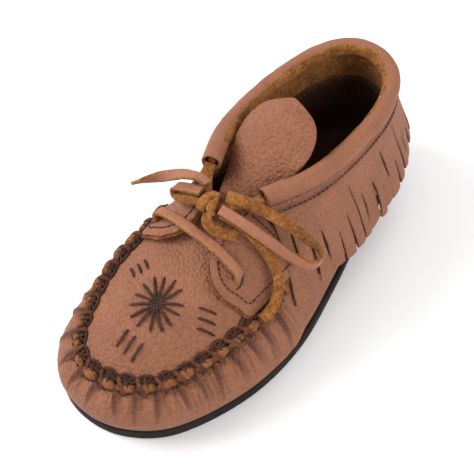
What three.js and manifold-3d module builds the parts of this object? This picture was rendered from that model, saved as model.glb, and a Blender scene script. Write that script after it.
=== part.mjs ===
// A soft-sided leather moccasin with a puckered toe, a rolled ankle collar, a fringed cuff
// and a flat leather lace tied in a bow. Left shoe. Millimetres, +Z up.
// The toe points to -Y and the lateral (outer) side is +X. The origin is on the ground,
// halfway along the outsole, on its heel-to-toe line.

import * as THREE from 'three';
import { mergeVertices } from 'three/addons/utils/BufferGeometryUtils.js';
import Module from 'manifold-3d';

const wasm = await Module();
wasm.setup();

// ---------- driving dimensions ----------

const CLEARANCE = 0.3;          // air gap kept between touching layers
const LEATHER = 1.6;            // thickness of the upper leather
const SOLE_THICKNESS = 8;
const SOLE_LEDGE = 0.8;         // how far the sole stands out past its own top edge
const TREAD_GROOVES = 15;
const TREAD_PITCH = 15;
const TREAD_DEPTH = 1.2;

// Foot outline at the ground, from the toe along the lateral side to the heel and back.
const OUTLINE = [
  [-9, -126], [14, -121], [35, -103], [51, -66], [55, -27], [49, 14], [41, 52], [35, 88], [21, 117],
  [0, 126], [-20, 117], [-33, 88], [-33, 48], [-33, 8], [-40, -34], [-46, -70], [-43, -101], [-29, -120],
];

const FEATHER = { inset: 2.8, z: SOLE_THICKNESS + CLEARANCE };   // where the wall meets the sole
const BULGE = { inset: 1.0, z: 16 };                             // widest height of the wall

// Seam between the wall and the toe plug, by station along Y: height and inset from the outline.
const SEAM = {
  lateral: {
    z: [[-126, 30], [-100, 32], [-60, 37], [-30, 42], [0, 46], [126, 46]],
    inset: [[-126, 13], [-100, 13], [-60, 15], [-30, 14], [10, 7], [60, 4], [126, 5]],
  },
  medial: {
    z: [[-126, 30], [-100, 34], [-60, 45], [-30, 54], [0, 50], [60, 46], [126, 46]],
    inset: [[-126, 13], [-100, 14], [-60, 8], [-30, 6], [10, 5], [60, 4], [126, 5]],
  },
};

// Ridge line over the instep: x, y, height of the plug and of the tongue that carries on from it.
const RIDGE = [
  [-8, -113, 33], [-6, -100, 42], [-3, -72, 51], [-2, -50, 59], [-1, -30, 67], [-1, -15, 74], [0, 0, 84],
  [1, 16, 95], [2, 34, 108],
];
const DOME_POWER = 2.2;          // how the instep falls away from its ridge to the seam
const TOE_CENTRE_Y = -96;        // in front of this the plug fans out around its toe end

// Collar roll: centre line from the lateral front end round the heel to the medial front end.
const COLLAR = [
  [18, -13, 86], [28, 14, 83.5], [31, 48, 81.5], [28.5, 82, 81.5], [18, 104, 83.5], [0, 112, 84.5],
  [-16, 105, 84], [-26.5, 82, 82.5], [-30, 48, 82], [-26, 14, 84.5], [-15, -12, 88],
];
const ROLL_DIAMETER = 10;
const ROLL_BORE = 6.2;
const COLLAR_FRONT_Y = -14;      // where the ankle wall starts, behind the front flaps

const LACE = { width: 5.4, thickness: 1.8 };
const KNOT = { centre: [-1, -29, 83], radius: [5.6, 5.2, 4.2] };

const COLOURS = {
  leather: 0xaa785f, suede: 0x96642f, stitch: 0x4f2a17, sole: 0x3a3130, lining: 0x4a2c1e, board: 0x8d7a60,
};

// ---------- small maths ----------

const vec = (x, y, z) => new THREE.Vector3(x, y, z);
const lerp = THREE.MathUtils.lerp;

function table(rows, at) {
  if (at <= rows[0][0]) return rows[0][1];
  for (let i = 1; i < rows.length; i++) {
    const [a, b] = [rows[i - 1], rows[i]];
    if (at <= b[0]) return lerp(a[1], b[1], (at - a[0]) / (b[0] - a[0]));
  }
  return rows[rows.length - 1][1];
}

function smooth(from, to, at) {
  return THREE.MathUtils.smoothstep(at, from, to);
}

function curve(points, closed = false) {
  return new THREE.CatmullRomCurve3(points.map((p) => vec(...p)), closed, 'catmullrom', 0.5);
}

// ---------- solids from points ----------

// Welds the corners, drops collapsed faces and turns every face outward.
function solid(triangles) {
  const flat = [];
  for (const triangle of triangles) for (const p of triangle) flat.push(p.x, p.y, p.z);
  const geometry = new THREE.BufferGeometry();
  geometry.setAttribute('position', new THREE.Float32BufferAttribute(flat, 3));
  return weld(geometry);
}

function weld(source) {
  const bare = new THREE.BufferGeometry();
  bare.setAttribute('position', source.getAttribute('position'));
  if (source.index) bare.setIndex(source.index);
  const merged = mergeVertices(bare, 1e-3);
  const index = merged.index.array;
  const position = merged.getAttribute('position');
  const corner = [vec(0, 0, 0), vec(0, 0, 0), vec(0, 0, 0)];
  const kept = [];
  let volume = 0;
  for (let i = 0; i < index.length; i += 3) {
    const [a, b, c] = [index[i], index[i + 1], index[i + 2]];
    if (a === b || b === c || a === c) continue;
    kept.push(a, b, c);
    [a, b, c].forEach((n, k) => corner[k].fromBufferAttribute(position, n));
    volume += corner[0].dot(corner[1].clone().cross(corner[2]));
  }
  if (volume < 0) for (let i = 0; i < kept.length; i += 3) kept.splice(i, 2, kept[i + 1], kept[i]);
  merged.setIndex(kept);
  return merged;
}

// A sheet with thickness from two grids of points. keep(row, column) leaves cells out.
function shell(outer, inner, { wrap = false, keep = () => true } = {}) {
  const rows = outer.length - 1;
  const columns = outer[0].length - (wrap ? 0 : 1);
  const next = (j) => (j + 1) % outer[0].length;
  const there = (i, j) => {
    if (i < 0 || i >= rows) return false;
    if (!wrap && (j < 0 || j >= columns)) return false;
    return keep(i, (j + columns) % columns);
  };
  const triangles = [];
  const quad = (a, b, c, d) => triangles.push([a, b, c], [a, c, d]);
  for (let i = 0; i < rows; i++) {
    for (let j = 0; j < columns; j++) {
      if (!there(i, j)) continue;
      const ring = [[i, j], [i, next(j)], [i + 1, next(j)], [i + 1, j]];
      const [a, b, c, d] = ring.map(([r, k]) => outer[r][k]);
      const [e, f, g, h] = ring.map(([r, k]) => inner[r][k]);
      quad(a, b, c, d);
      quad(h, g, f, e);
      if (!there(i - 1, j)) quad(b, a, e, f);
      if (!there(i, j + 1)) quad(c, b, f, g);
      if (!there(i + 1, j)) quad(d, c, g, h);
      if (!there(i, j - 1)) quad(a, d, h, e);
    }
  }
  return solid(triangles);
}

// A sheet laid over a height field: its edge loop is shrunk in rings to a centre point.
function patch(loop, centre, rings, top, thickness) {
  const ring = (r) => loop.map(([x, y]) => [lerp(centre[0], x, r), lerp(centre[1], y, r)]);
  const fractions = [0, ...Array.from({ length: rings }, (_, k) => (k + 1) / rings)];
  const outer = fractions.map((r) => ring(r).map(([x, y]) => vec(x, y, top(x, y))));
  const inner = outer.map((row) => row.map((p) => vec(p.x, p.y, p.z - thickness)));
  return shell(outer, inner, { wrap: true });
}

// A solid lofted through closed rings, with a flat cap at each end.
function loft(rings) {
  const triangles = [];
  const sides = rings[0].length;
  for (let i = 1; i < rings.length; i++) {
    for (let j = 0; j < sides; j++) {
      const k = (j + 1) % sides;
      const [a, b, c, d] = [rings[i - 1][j], rings[i - 1][k], rings[i][k], rings[i][j]];
      triangles.push([a, b, c], [a, c, d]);
    }
  }
  const cap = (ring, forward) => {
    const middle = ring.reduce((sum, p) => sum.add(p), vec(0, 0, 0)).divideScalar(sides);
    for (let j = 0; j < sides; j++) {
      const [p, q] = [ring[j], ring[(j + 1) % sides]];
      triangles.push(forward ? [middle, p, q] : [middle, q, p]);
    }
  };
  cap(rings[0], false);
  cap(rings[rings.length - 1], true);
  return solid(triangles);
}

// A round cord or thread.
function tube(points, diameter, sides, steps, bore = 0) {
  const shape = new THREE.Shape().absarc(0, 0, diameter / 2, 0, Math.PI * 2);
  if (bore) shape.holes.push(new THREE.Path().absarc(0, 0, bore / 2, 0, Math.PI * 2, true));
  const options = { steps, curveSegments: sides / 2, bevelEnabled: false, extrudePath: curve(points) };
  return weld(new THREE.ExtrudeGeometry(shape, options));
}

// A flat lace: an eight-sided section swept along a route, its broad face towards `face`.
// route holds [x, y, z]; faces holds one direction per route point.
function strap(route, faces, steps, { width, thickness } = LACE) {
  const line = curve(route);
  const towards = curve(faces);
  const [w, t] = [width / 2, thickness / 2];
  const bevel = t * 0.45;
  const section = [
    [w - bevel, -t], [w, -t + bevel], [w, t - bevel], [w - bevel, t],
    [-w + bevel, t], [-w, t - bevel], [-w, -t + bevel], [-w + bevel, -t],
  ];
  const rings = [];
  for (let i = 0; i <= steps; i++) {
    const at = i / steps;
    const along = line.getTangent(at);
    const side = towards.getPoint(at).cross(along).normalize();
    const up = along.clone().cross(side).normalize();
    const middle = line.getPoint(at);
    rings.push(section.map(([a, b]) => middle.clone().addScaledVector(side, a).addScaledVector(up, b)));
  }
  return loft(rings);
}

// ---------- booleans ----------

function toManifold(geometry) {
  const welded = weld(geometry);
  return new wasm.Manifold(new wasm.Mesh({
    numProp: 3,
    vertProperties: new Float32Array(welded.getAttribute('position').array),
    triVerts: new Uint32Array(welded.index.array),
  }));
}

function fromManifold(body) {
  const mesh = body.getMesh();
  const geometry = new THREE.BufferGeometry();
  geometry.setAttribute('position', new THREE.Float32BufferAttribute(mesh.vertProperties, 3));
  geometry.setIndex(Array.from(mesh.triVerts));
  return weld(geometry);
}

// ---------- the foot form that every layer follows ----------

const STATIONS = 66;
const outlineCurve = curve(OUTLINE.map(([x, y]) => [x, y, 0]), true);
outlineCurve.arcLengthDivisions = 1200;

function outlineAt(u) {
  const turn = ((u % 1) + 1) % 1;
  const p = outlineCurve.getPointAt(turn);
  const t = outlineCurve.getTangentAt(turn);
  return { x: p.x, y: p.y, nx: t.y, ny: -t.x };
}

// First fraction of the outline past `from` where Y crosses a value.
function outlineCrossing(y, from, step) {
  let u = from;
  while ((outlineAt(u).y - y) * (outlineAt(u + step).y - y) > 0) u += step;
  return u;
}
const LATERAL_FRONT = outlineCrossing(COLLAR_FRONT_Y, 0.05, 0.001);
const MEDIAL_FRONT = outlineCrossing(COLLAR_FRONT_Y, 0.95, -0.001);

function seamAt(u) {
  const o = outlineAt(u);
  const lateral = smooth(-12, 12, o.x + 4);
  const mix = (key) => lerp(table(SEAM.medial[key], o.y), table(SEAM.lateral[key], o.y), lateral);
  return { ...o, inset: mix('inset'), z: mix('z') };
}

const inward = (o, inset, z) => vec(o.x - o.nx * inset, o.y - o.ny * inset, z);

// The wall of the wrap from the sole to the seam; t runs 0 to 1.
function wrapWall(u, t, depth) {
  const s = seamAt(u);
  if (t < 0.3) {
    const low = t / 0.3;
    return inward(s, lerp(FEATHER.inset, BULGE.inset, Math.sin(low * Math.PI / 2)) + depth,
      lerp(FEATHER.z, BULGE.z, low));
  }
  const high = (t - 0.3) / 0.7;
  return inward(s, BULGE.inset + (s.inset - BULGE.inset) * high ** 1.9 + depth,
    lerp(BULGE.z, s.z, Math.sin(high * Math.PI / 2 * 0.9) / Math.sin(Math.PI / 2 * 0.9)));
}

const collarCurve = curve(COLLAR);
collarCurve.arcLengthDivisions = 800;
const ankleStation = (v) => lerp(LATERAL_FRONT, MEDIAL_FRONT, v);

function collarAt(v) {
  const p = collarCurve.getPointAt(v);
  const t = collarCurve.getTangentAt(v);
  const flat = Math.hypot(t.x, t.y);
  return { x: p.x, y: p.y, z: p.z, nx: t.y / flat, ny: -t.x / flat };
}

// The ankle wall from the sole up to the collar roll; s runs 0 to 1, depth goes inward.
function ankleWall(v, s, depth) {
  const seam = seamAt(ankleStation(v));
  const c = collarAt(THREE.MathUtils.clamp(v, 0, 1));
  const keys = [
    inward(seam, FEATHER.inset, FEATHER.z), inward(seam, BULGE.inset, BULGE.z + 4),
    inward(seam, seam.inset, seam.z), vec(c.x + c.nx * 2.5, c.y + c.ny * 2.5, c.z - ROLL_DIAMETER / 2 - 0.8),
  ];
  const p = new THREE.CatmullRomCurve3(keys, false, 'catmullrom', 0.5).getPoint(s);
  const n = vec(lerp(seam.nx, c.nx, s), lerp(seam.ny, c.ny, s), 0).normalize();
  return p.addScaledVector(n, -depth);
}

// Seam points as left and right edge tables by Y, for the height field over the instep.
const seamLoop = Array.from({ length: 400 }, (_, i) => {
  const s = seamAt(i / 400);
  return inward(s, s.inset, s.z);
});
const edgeRow = (p) => [p.y, p];
const lateralEdge = seamLoop.slice(4, 196).map(edgeRow).sort((a, b) => a[0] - b[0]);
const medialEdge = seamLoop.slice(204, 396).map(edgeRow).sort((a, b) => a[0] - b[0]);

function edgeAt(rows, y) {
  const pick = (key) => table(rows.map(([at, p]) => [at, p[key]]), y);
  return { x: pick('x'), z: pick('z') };
}

function ridgeAt(y) {
  return { x: table(RIDGE.map((p) => [p[1], p[0]]), y), z: table(RIDGE.map((p) => [p[1], p[2]]), y) };
}

// How far a point lies from the ridge (0) to the seam (1), and the heights at both.
function across(x, y) {
  if (y >= TOE_CENTRE_Y) {
    const k = ridgeAt(y);
    const e = edgeAt(x < k.x ? medialEdge : lateralEdge, y);
    return { r: Math.abs((x - k.x) / (e.x - k.x)), ridge: k.z, edge: e.z };
  }
  const k = ridgeAt(TOE_CENTRE_Y);
  const angle = Math.atan2(y - TOE_CENTRE_Y, x - k.x);
  let best = null;
  for (const p of seamLoop) {
    if (p.y > TOE_CENTRE_Y + 2) continue;
    const miss = Math.abs(Math.atan2(p.y - TOE_CENTRE_Y, p.x - k.x) - angle);
    if (!best || miss < best.miss) best = { miss, p };
  }
  const reach = Math.hypot(best.p.x - k.x, best.p.y - TOE_CENTRE_Y);
  return { r: Math.hypot(x - k.x, y - TOE_CENTRE_Y) / reach, ridge: k.z, edge: best.p.z };
}

// Top of the plug and the tongue.
function instep(x, y) {
  const { r, ridge, edge } = across(x, y);
  return ridge - (ridge - edge) * Math.min(r, 1.1) ** DOME_POWER;
}

// Top of the front flaps, which lie over the plug and climb to the ends of the collar.
const FLAP_RIDGE = [[-56, 61.5], [-44, 66.5], [-30, 75.5], [-17, 84.5]];
function flapTop(x, y) {
  const { r, edge } = across(x, y);
  const ridge = table(FLAP_RIDGE, y);
  return ridge - (ridge - edge - 1.5) * Math.min(r, 1.1) ** DOME_POWER;
}

// ---------- sole ----------

const SOLE_STATIONS = 160;

function outsole() {
  const loopAt = (inset, z) => Array.from({ length: SOLE_STATIONS }, (_, i) => (
    inward(outlineAt(i / SOLE_STATIONS), inset, z)));
  const rings = [
    loopAt(1.2, 0), loopAt(0.3, 0.8), loopAt(0, 2.4), loopAt(SOLE_LEDGE * 0.6, SOLE_THICKNESS - 0.8),
    loopAt(SOLE_LEDGE + 0.6, SOLE_THICKNESS),
  ];
  let body = toManifold(loft(rings));
  for (let i = 0; i < TREAD_GROOVES; i++) {
    const y = (i - (TREAD_GROOVES - 1) / 2 + 0.5) * TREAD_PITCH;
    const groove = new THREE.BoxGeometry(160, 2.4, TREAD_DEPTH * 2).translate(0, y, 0);
    body = body.subtract(toManifold(groove));
  }
  return fromManifold(body);
}

function layer(inset, bottom, thickness, count, crown = 0) {
  const loop = Array.from({ length: count }, (_, i) => inward(outlineAt(i / count), inset, 0));
  const edge = loop.map((p) => [p.x, p.y]);
  const reach = (x, y) => Math.min(...loop.map((p) => Math.hypot(p.x - x, p.y - y)));
  const top = (x, y) => bottom + thickness - crown * (1 - smooth(0, 9, reach(x, y)));
  const fractions = crown ? [0, 0.6, 0.86, 1] : [0, 1];
  const ring = (r, z) => edge.map(([edgeX, edgeY]) => {
    const x = lerp(4, edgeX, r);
    const y = lerp(0, edgeY, r);
    return vec(x, y, z(x, y));
  });
  const upper = fractions.map((r) => ring(r, top));
  return shell(upper, fractions.map((r) => ring(r, () => bottom)), { wrap: true });
}

// ---------- the wrap: one leather tray, puckered at the toe ----------

const WRAP_REAR_TOP = 0.7;       // how far up the ankle wall it reaches behind the quarters

function lowerWrap() {
  const us = Array.from({ length: STATIONS }, (_, i) => i / STATIONS);
  const behind = (u) => {
    const o = outlineAt(u);
    return smooth(COLLAR_FRONT_Y - 20, COLLAR_FRONT_Y - 6, o.y);
  };
  const wall = (u, t, depth) => {
    const back = behind(u);
    const front = wrapWall(u, t, depth);
    if (back === 0) return front;
    const v = (u - LATERAL_FRONT) / (MEDIAL_FRONT - LATERAL_FRONT);
    return front.lerp(ankleWall(v, t * WRAP_REAR_TOP, depth + LEATHER + 2 * CLEARANCE), back);
  };
  const steps = [0, 0.15, 0.3, 0.5, 0.68, 0.84, 1];
  const floorRing = (r, z) => us.map((u) => {
    const p = wall(u, 0, 0);
    return vec(lerp(4, p.x, r), lerp(0, p.y, r), z);
  });
  const outer = [floorRing(0, FEATHER.z), floorRing(0.8, FEATHER.z)];
  const inner = [floorRing(0, FEATHER.z + LEATHER), floorRing(0.8, FEATHER.z + LEATHER)];
  for (const t of steps) {
    outer.push(us.map((u) => wall(u, t, 0)));
    inner.push(us.map((u) => {
      const p = wall(u, t, LEATHER);
      p.z = Math.max(p.z, FEATHER.z + LEATHER);
      return p;
    }));
  }
  return shell(outer, inner, { wrap: true });
}

// ---------- plug, tongue and front flaps ----------

const PLUG_REAR_Y = -30;
const PLUG_GAP = 2.6;

function plug() {
  const loop = [];
  for (let i = 0; i < 38; i++) {
    const u = lerp(-0.21, 0.27, i / 37);
    const s = seamAt(u);
    const p = inward(s, s.inset + PLUG_GAP, 0);
    if (p.y < PLUG_REAR_Y) loop.push([p.x, p.y]);
  }
  const [first, last] = [loop[0], loop[loop.length - 1]];
  for (let i = 0; i <= 8; i++) loop.push([lerp(last[0], first[0], i / 8), PLUG_REAR_Y]);
  return patch(loop, [0, -70], 4, instep, LEATHER);
}

// Half-width of the tongue by Y; it widens past the collar ends and has a round tip.
const TONGUE_WIDTH = [
  [-44, 15], [-12, 9], [-4, 10.5], [6, 14.5], [14, 18.5], [20, 19.5], [25, 19], [29, 17], [32, 13.5], [34, 7],
];
const TONGUE_FOLD_Y = -9;
const FOLD_GAP = 1.3;

function tonguePanel(fromY, toY, rows, drop) {
  const columns = 8;
  const grid = (depth) => Array.from({ length: rows + 1 }, (_, i) => {
    const y = lerp(fromY, toY, i / rows);
    const half = table(TONGUE_WIDTH, y);
    return Array.from({ length: columns + 1 }, (_, j) => {
      const side = (j / columns) * 2 - 1;
      const ridge = ridgeAt(y);
      const x = ridge.x + half * side * (1 + (side > 0 ? 0.09 : 0) * smooth(-10, 14, y));
      const level = lerp(instep(x, y), ridge.z - 2.5 * side * side, smooth(-6, 12, y));
      return vec(x, y, level - drop - 2 * side * side - depth);
    });
  });
  return shell(grid(0), grid(LEATHER + 0.2));
}

function tongueRoot() {
  return tonguePanel(-42, TONGUE_FOLD_Y - FOLD_GAP, 6, LEATHER + 2 * CLEARANCE);
}

function tongueFlap() {
  return tonguePanel(TONGUE_FOLD_Y, 33.9, 10, LEATHER + 2 * CLEARANCE);
}

const FLAP_EDGE = {
  right: [[13, -18], [9, -30], [10, -42], [16, -50], [24, -52.5], [32, -50]],
  left: [[-12, -18], [-8, -29], [-9, -38], [-14, -44], [-21, -47.5], [-28, -48]],
};
const FLAP_LIFT = 2.2;
const FLAP_REAR_Y = -25;         // rear end of a flap where it meets the seam

function flapLoop(side, inset) {
  const sign = side === 'right' ? 1 : -1;
  const edge = FLAP_EDGE[side];
  const rows = side === 'right' ? lateralEdge : medialEdge;
  const front = new THREE.CatmullRomCurve3(edge.map(([x, y]) => vec(x, y, 0))).getSpacedPoints(12);
  const loop = front.map((p) => [p.x, p.y]);
  for (let i = 0; i <= 5; i++) {
    const y = lerp(-46.5, FLAP_REAR_Y, i / 5);
    loop.push([edgeAt(rows, y).x - sign * 2.4, y]);
  }
  const last = loop[loop.length - 1];
  for (let i = 1; i < 4; i++) loop.push([lerp(last[0], edge[0][0], i / 4), lerp(last[1], edge[0][1], i / 4)]);
  const middle = [sign * 25, -34];
  return { middle, loop: loop.map(([x, y]) => {
    const reach = Math.hypot(x - middle[0], y - middle[1]);
    const r = (reach - inset) / reach;
    return [lerp(middle[0], x, r), lerp(middle[1], y, r)];
  }) };
}

function frontFlap(side) {
  const { loop, middle } = flapLoop(side, 0);
  return punch(patch(loop, middle, 4, (x, y) => flapTop(x, y) + FLAP_LIFT, LEATHER), side);
}

// The slot in a front flap that the lace passes down through.
function punch(geometry, side) {
  const [x, y] = side === 'right' ? [25.8, -42.6] : [-28.3, -39.4];
  const slot = new THREE.BoxGeometry(LACE.thickness + 1.4, LACE.width + 1.2, 40).translate(x, y, 62);
  return fromManifold(toManifold(geometry).subtract(toManifold(slot)));
}

function flapLining(side) {
  const { loop, middle } = flapLoop(side, 0.8);
  const drop = LEATHER + 2.5 * CLEARANCE;
  return punch(patch(loop, middle, 4, (x, y) => flapTop(x, y) + FLAP_LIFT - drop, 1), side);
}

function flapThread(side) {
  const { loop } = flapLoop(side, 3);
  const rise = FLAP_LIFT + CLEARANCE + 0.6;
  const rear = loop.slice(0, 13).map(([x, y]) => [x, y, flapTop(x, y) + rise]);
  return tube(rear, 0.9, 4, 18);
}

// ---------- ankle: quarters, linings, roll and fringed cuff ----------

const ANKLE_COLUMNS = 34;

// Part of the ankle wall, between two fractions round it, at the given levels up it.
function anklePanel(v0, v1, levels, depth, thickness) {
  const columns = Math.round((v1 - v0) * ANKLE_COLUMNS);
  const grid = (d) => levels.map((s) => (
    Array.from({ length: columns + 1 }, (_, j) => ankleWall(lerp(v0, v1, j / columns), s, d))));
  return shell(grid(depth), grid(depth + thickness));
}

const ROLL_STEPS = 34;
const collarRoute = Array.from({ length: 19 }, (_, i) => {
  const c = collarAt(i / 18);
  return [c.x, c.y, c.z];
});

const FRINGE = {
  strips: 30, slitGap: 0.9, thickness: 1.5,
  bottomZ: [[0, 34], [0.06, 31], [0.12, 27], [0.2, 25], [0.32, 27], [0.42, 33], [0.5, 37], [0.58, 33],
    [0.68, 28], [1, 28]],
  flare: [[0, -1], [0.08, 3], [0.16, 8], [0.24, 11], [0.32, 12], [0.42, 12], [0.5, 8.5], [0.6, 8],
    [0.8, 7], [0.92, 2], [1, 0]],
};

// The level at which the ankle wall passes a height.
function wallLevel(v, z) {
  let [low, high] = [0, 1];
  for (let i = 0; i < 14; i++) {
    const middle = (low + high) / 2;
    if (ankleWall(v, middle, 0).z < z) low = middle;
    else high = middle;
  }
  return (low + high) / 2;
}

// The cuff hangs over the ankle wall and flares away from it; t runs from the roll to the hem.
// Its two front edges lean towards the toe.
const CUFF_LEAN = 0.03;

function cuffPoint(along, t, depth) {
  const v = along + CUFF_LEAN * t * (smooth(0.86, 1, along) - 1 + smooth(0, 0.14, along));
  const top = ankleWall(v, 1, 0).z;
  const z = lerp(top, table(FRINGE.bottomZ, v), t);
  const flare = table(FRINGE.flare, v);
  const stand = FRINGE.thickness + 2 * CLEARANCE + 0.3;
  const away = lerp(stand, Math.max(stand, flare + BULGE.inset), smooth(0, 1.1, t));
  const p = ankleWall(v, wallLevel(v, z), depth - away);
  p.z = z;
  return p;
}

// Slits start at different heights and lean a little, as hand-cut ones do.
function slitTop(k) {
  return 0.36 + 0.16 * Math.abs(Math.sin(k * 2.3)) + 0.05 * Math.sin(k * 5.1);
}

function fringedCuff() {
  const { strips, slitGap, thickness } = FRINGE;
  const length = collarCurve.getLength() * 1.25;
  const gap = slitGap / length;
  const levels = [0, 0.22, 0.42, 0.56, 0.78, 1];
  const grid = (depth) => levels.map((t, i) => {
    const row = [];
    for (let k = 0; k < strips; k++) {
      const widen = i < 2 ? 0.15 : 0.3 + 0.7 * t;
      const ends = [
        k / strips + (k ? gap * widen : 0),
        (k + 1) / strips - (k < strips - 1 ? gap * widen : 0),
      ];
      const uneven = 0.02 * Math.sin(k * 3.7);
      const at = i === levels.length - 1 ? t + uneven : t;
      for (const v of [ends[0], (ends[0] + ends[1]) / 2, ends[1]]) row.push(cuffPoint(v, at, depth));
    }
    return row;
  });
  const keep = (i, j) => j % 3 !== 2 || levels[i + 1] <= slitTop((j - 2) / 3) + 0.06;
  return shell(grid(0), grid(thickness), { keep });
}

function cuffThread() {
  const route = Array.from({ length: 45 }, (_, i) => {
    const p = cuffPoint(lerp(0.01, 0.99, i / 44), 0.07, -0.8 - CLEARANCE);
    return [p.x, p.y, p.z + 0.25 * (i % 2)];
  });
  return tube(route, 1, 4, 50);
}

function liningThread() {
  const route = Array.from({ length: 31 }, (_, i) => {
    const p = ankleWall(lerp(0.04, 0.96, i / 30), 0.82, 5.9 + CLEARANCE + 0.4);
    return [p.x, p.y, p.z];
  });
  return tube(route, 0.8, 4, 44);
}

// ---------- decoration worked in dark thread ----------

// Stitches made flat, joined, then laid on the plug.
function onPlug(body, centre) {
  const geometry = fromManifold(body);
  const position = geometry.getAttribute('position');
  for (let i = 0; i < position.count; i++) {
    const [x, y] = [position.getX(i) + centre[0], position.getY(i) + centre[1]];
    position.setXYZ(i, x, y, instep(x, y) + CLEARANCE + position.getZ(i));
  }
  return geometry;
}

function stitchBar(length, width) {
  const shape = new THREE.Shape();
  shape.absarc(length / 2 - width / 2, 0, width / 2, -Math.PI / 2, Math.PI / 2);
  shape.absarc(-length / 2 + width / 2, 0, width / 2, Math.PI / 2, 3 * Math.PI / 2);
  return new THREE.ExtrudeGeometry(shape, { depth: 1, bevelEnabled: false, curveSegments: 2 });
}

const STAR = { centre: [-0.5, -73.5], spokes: 14, length: 11.2, stitch: 1.3, hub: 2.2 };

function star() {
  const hub = new THREE.CylinderGeometry(STAR.hub, STAR.hub, 1, 14).rotateX(Math.PI / 2);
  let body = toManifold(hub.translate(0, 0, 0.5));
  for (let k = 0; k < STAR.spokes; k++) {
    const spoke = stitchBar(STAR.length, STAR.stitch).translate(STAR.length / 2 + 1.4, 0, 0);
    body = body.add(toManifold(spoke.rotateZ((k + 0.3) / STAR.spokes * Math.PI * 2)));
  }
  return onPlug(body, STAR.centre);
}

// Three groups of three parallel stitches: centre of the group, direction across it, and of each stitch.
const TICKS = {
  toe: { centre: [1, -95.4], across: -4, along: 95, pitch: 5.1, length: 8.4 },
  left: { centre: [-20.6, -63.8], across: 59, along: 151, pitch: 3.8, length: 5.3 },
  right: { centre: [23.2, -64.6], across: -58, along: 25, pitch: 4.2, length: 8 },
};

function tick(group, k) {
  const { centre, across: acrossDeg, along, pitch, length } = TICKS[group];
  const step = (k - 1) * pitch;
  const turn = THREE.MathUtils.degToRad(acrossDeg);
  const at = [centre[0] + Math.cos(turn) * step, centre[1] + Math.sin(turn) * step];
  const bar = stitchBar(length, 1.3).rotateZ(THREE.MathUtils.degToRad(along));
  return onPlug(toManifold(bar), at);
}

// A thick twisted thread that laces the plug to the wrap, swinging from one side of the seam to the other.
const WHIP = { stitches: 21, diameter: 2.2, swing: 1.5, endY: -27 };

function whipstitch() {
  const from = outlineCrossing(WHIP.endY, 0.9, -0.001) - 1;
  const to = outlineCrossing(WHIP.endY, 0.1, 0.001);
  const count = WHIP.stitches * 2;
  const route = Array.from({ length: count + 1 }, (_, i) => {
    const s = seamAt(lerp(from, to, i / count));
    const side = i % 2 ? 1 : -1;
    const p = inward(s, s.inset + 0.6 + side * WHIP.swing, 0);
    return [p.x, p.y, Math.max(s.z, instep(p.x, p.y)) + WHIP.diameter / 2 + 0.9];
  });
  return tube(route, WHIP.diameter, 6, 84);
}

// ---------- lace ----------

const UP = [0, 0, 1];

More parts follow.
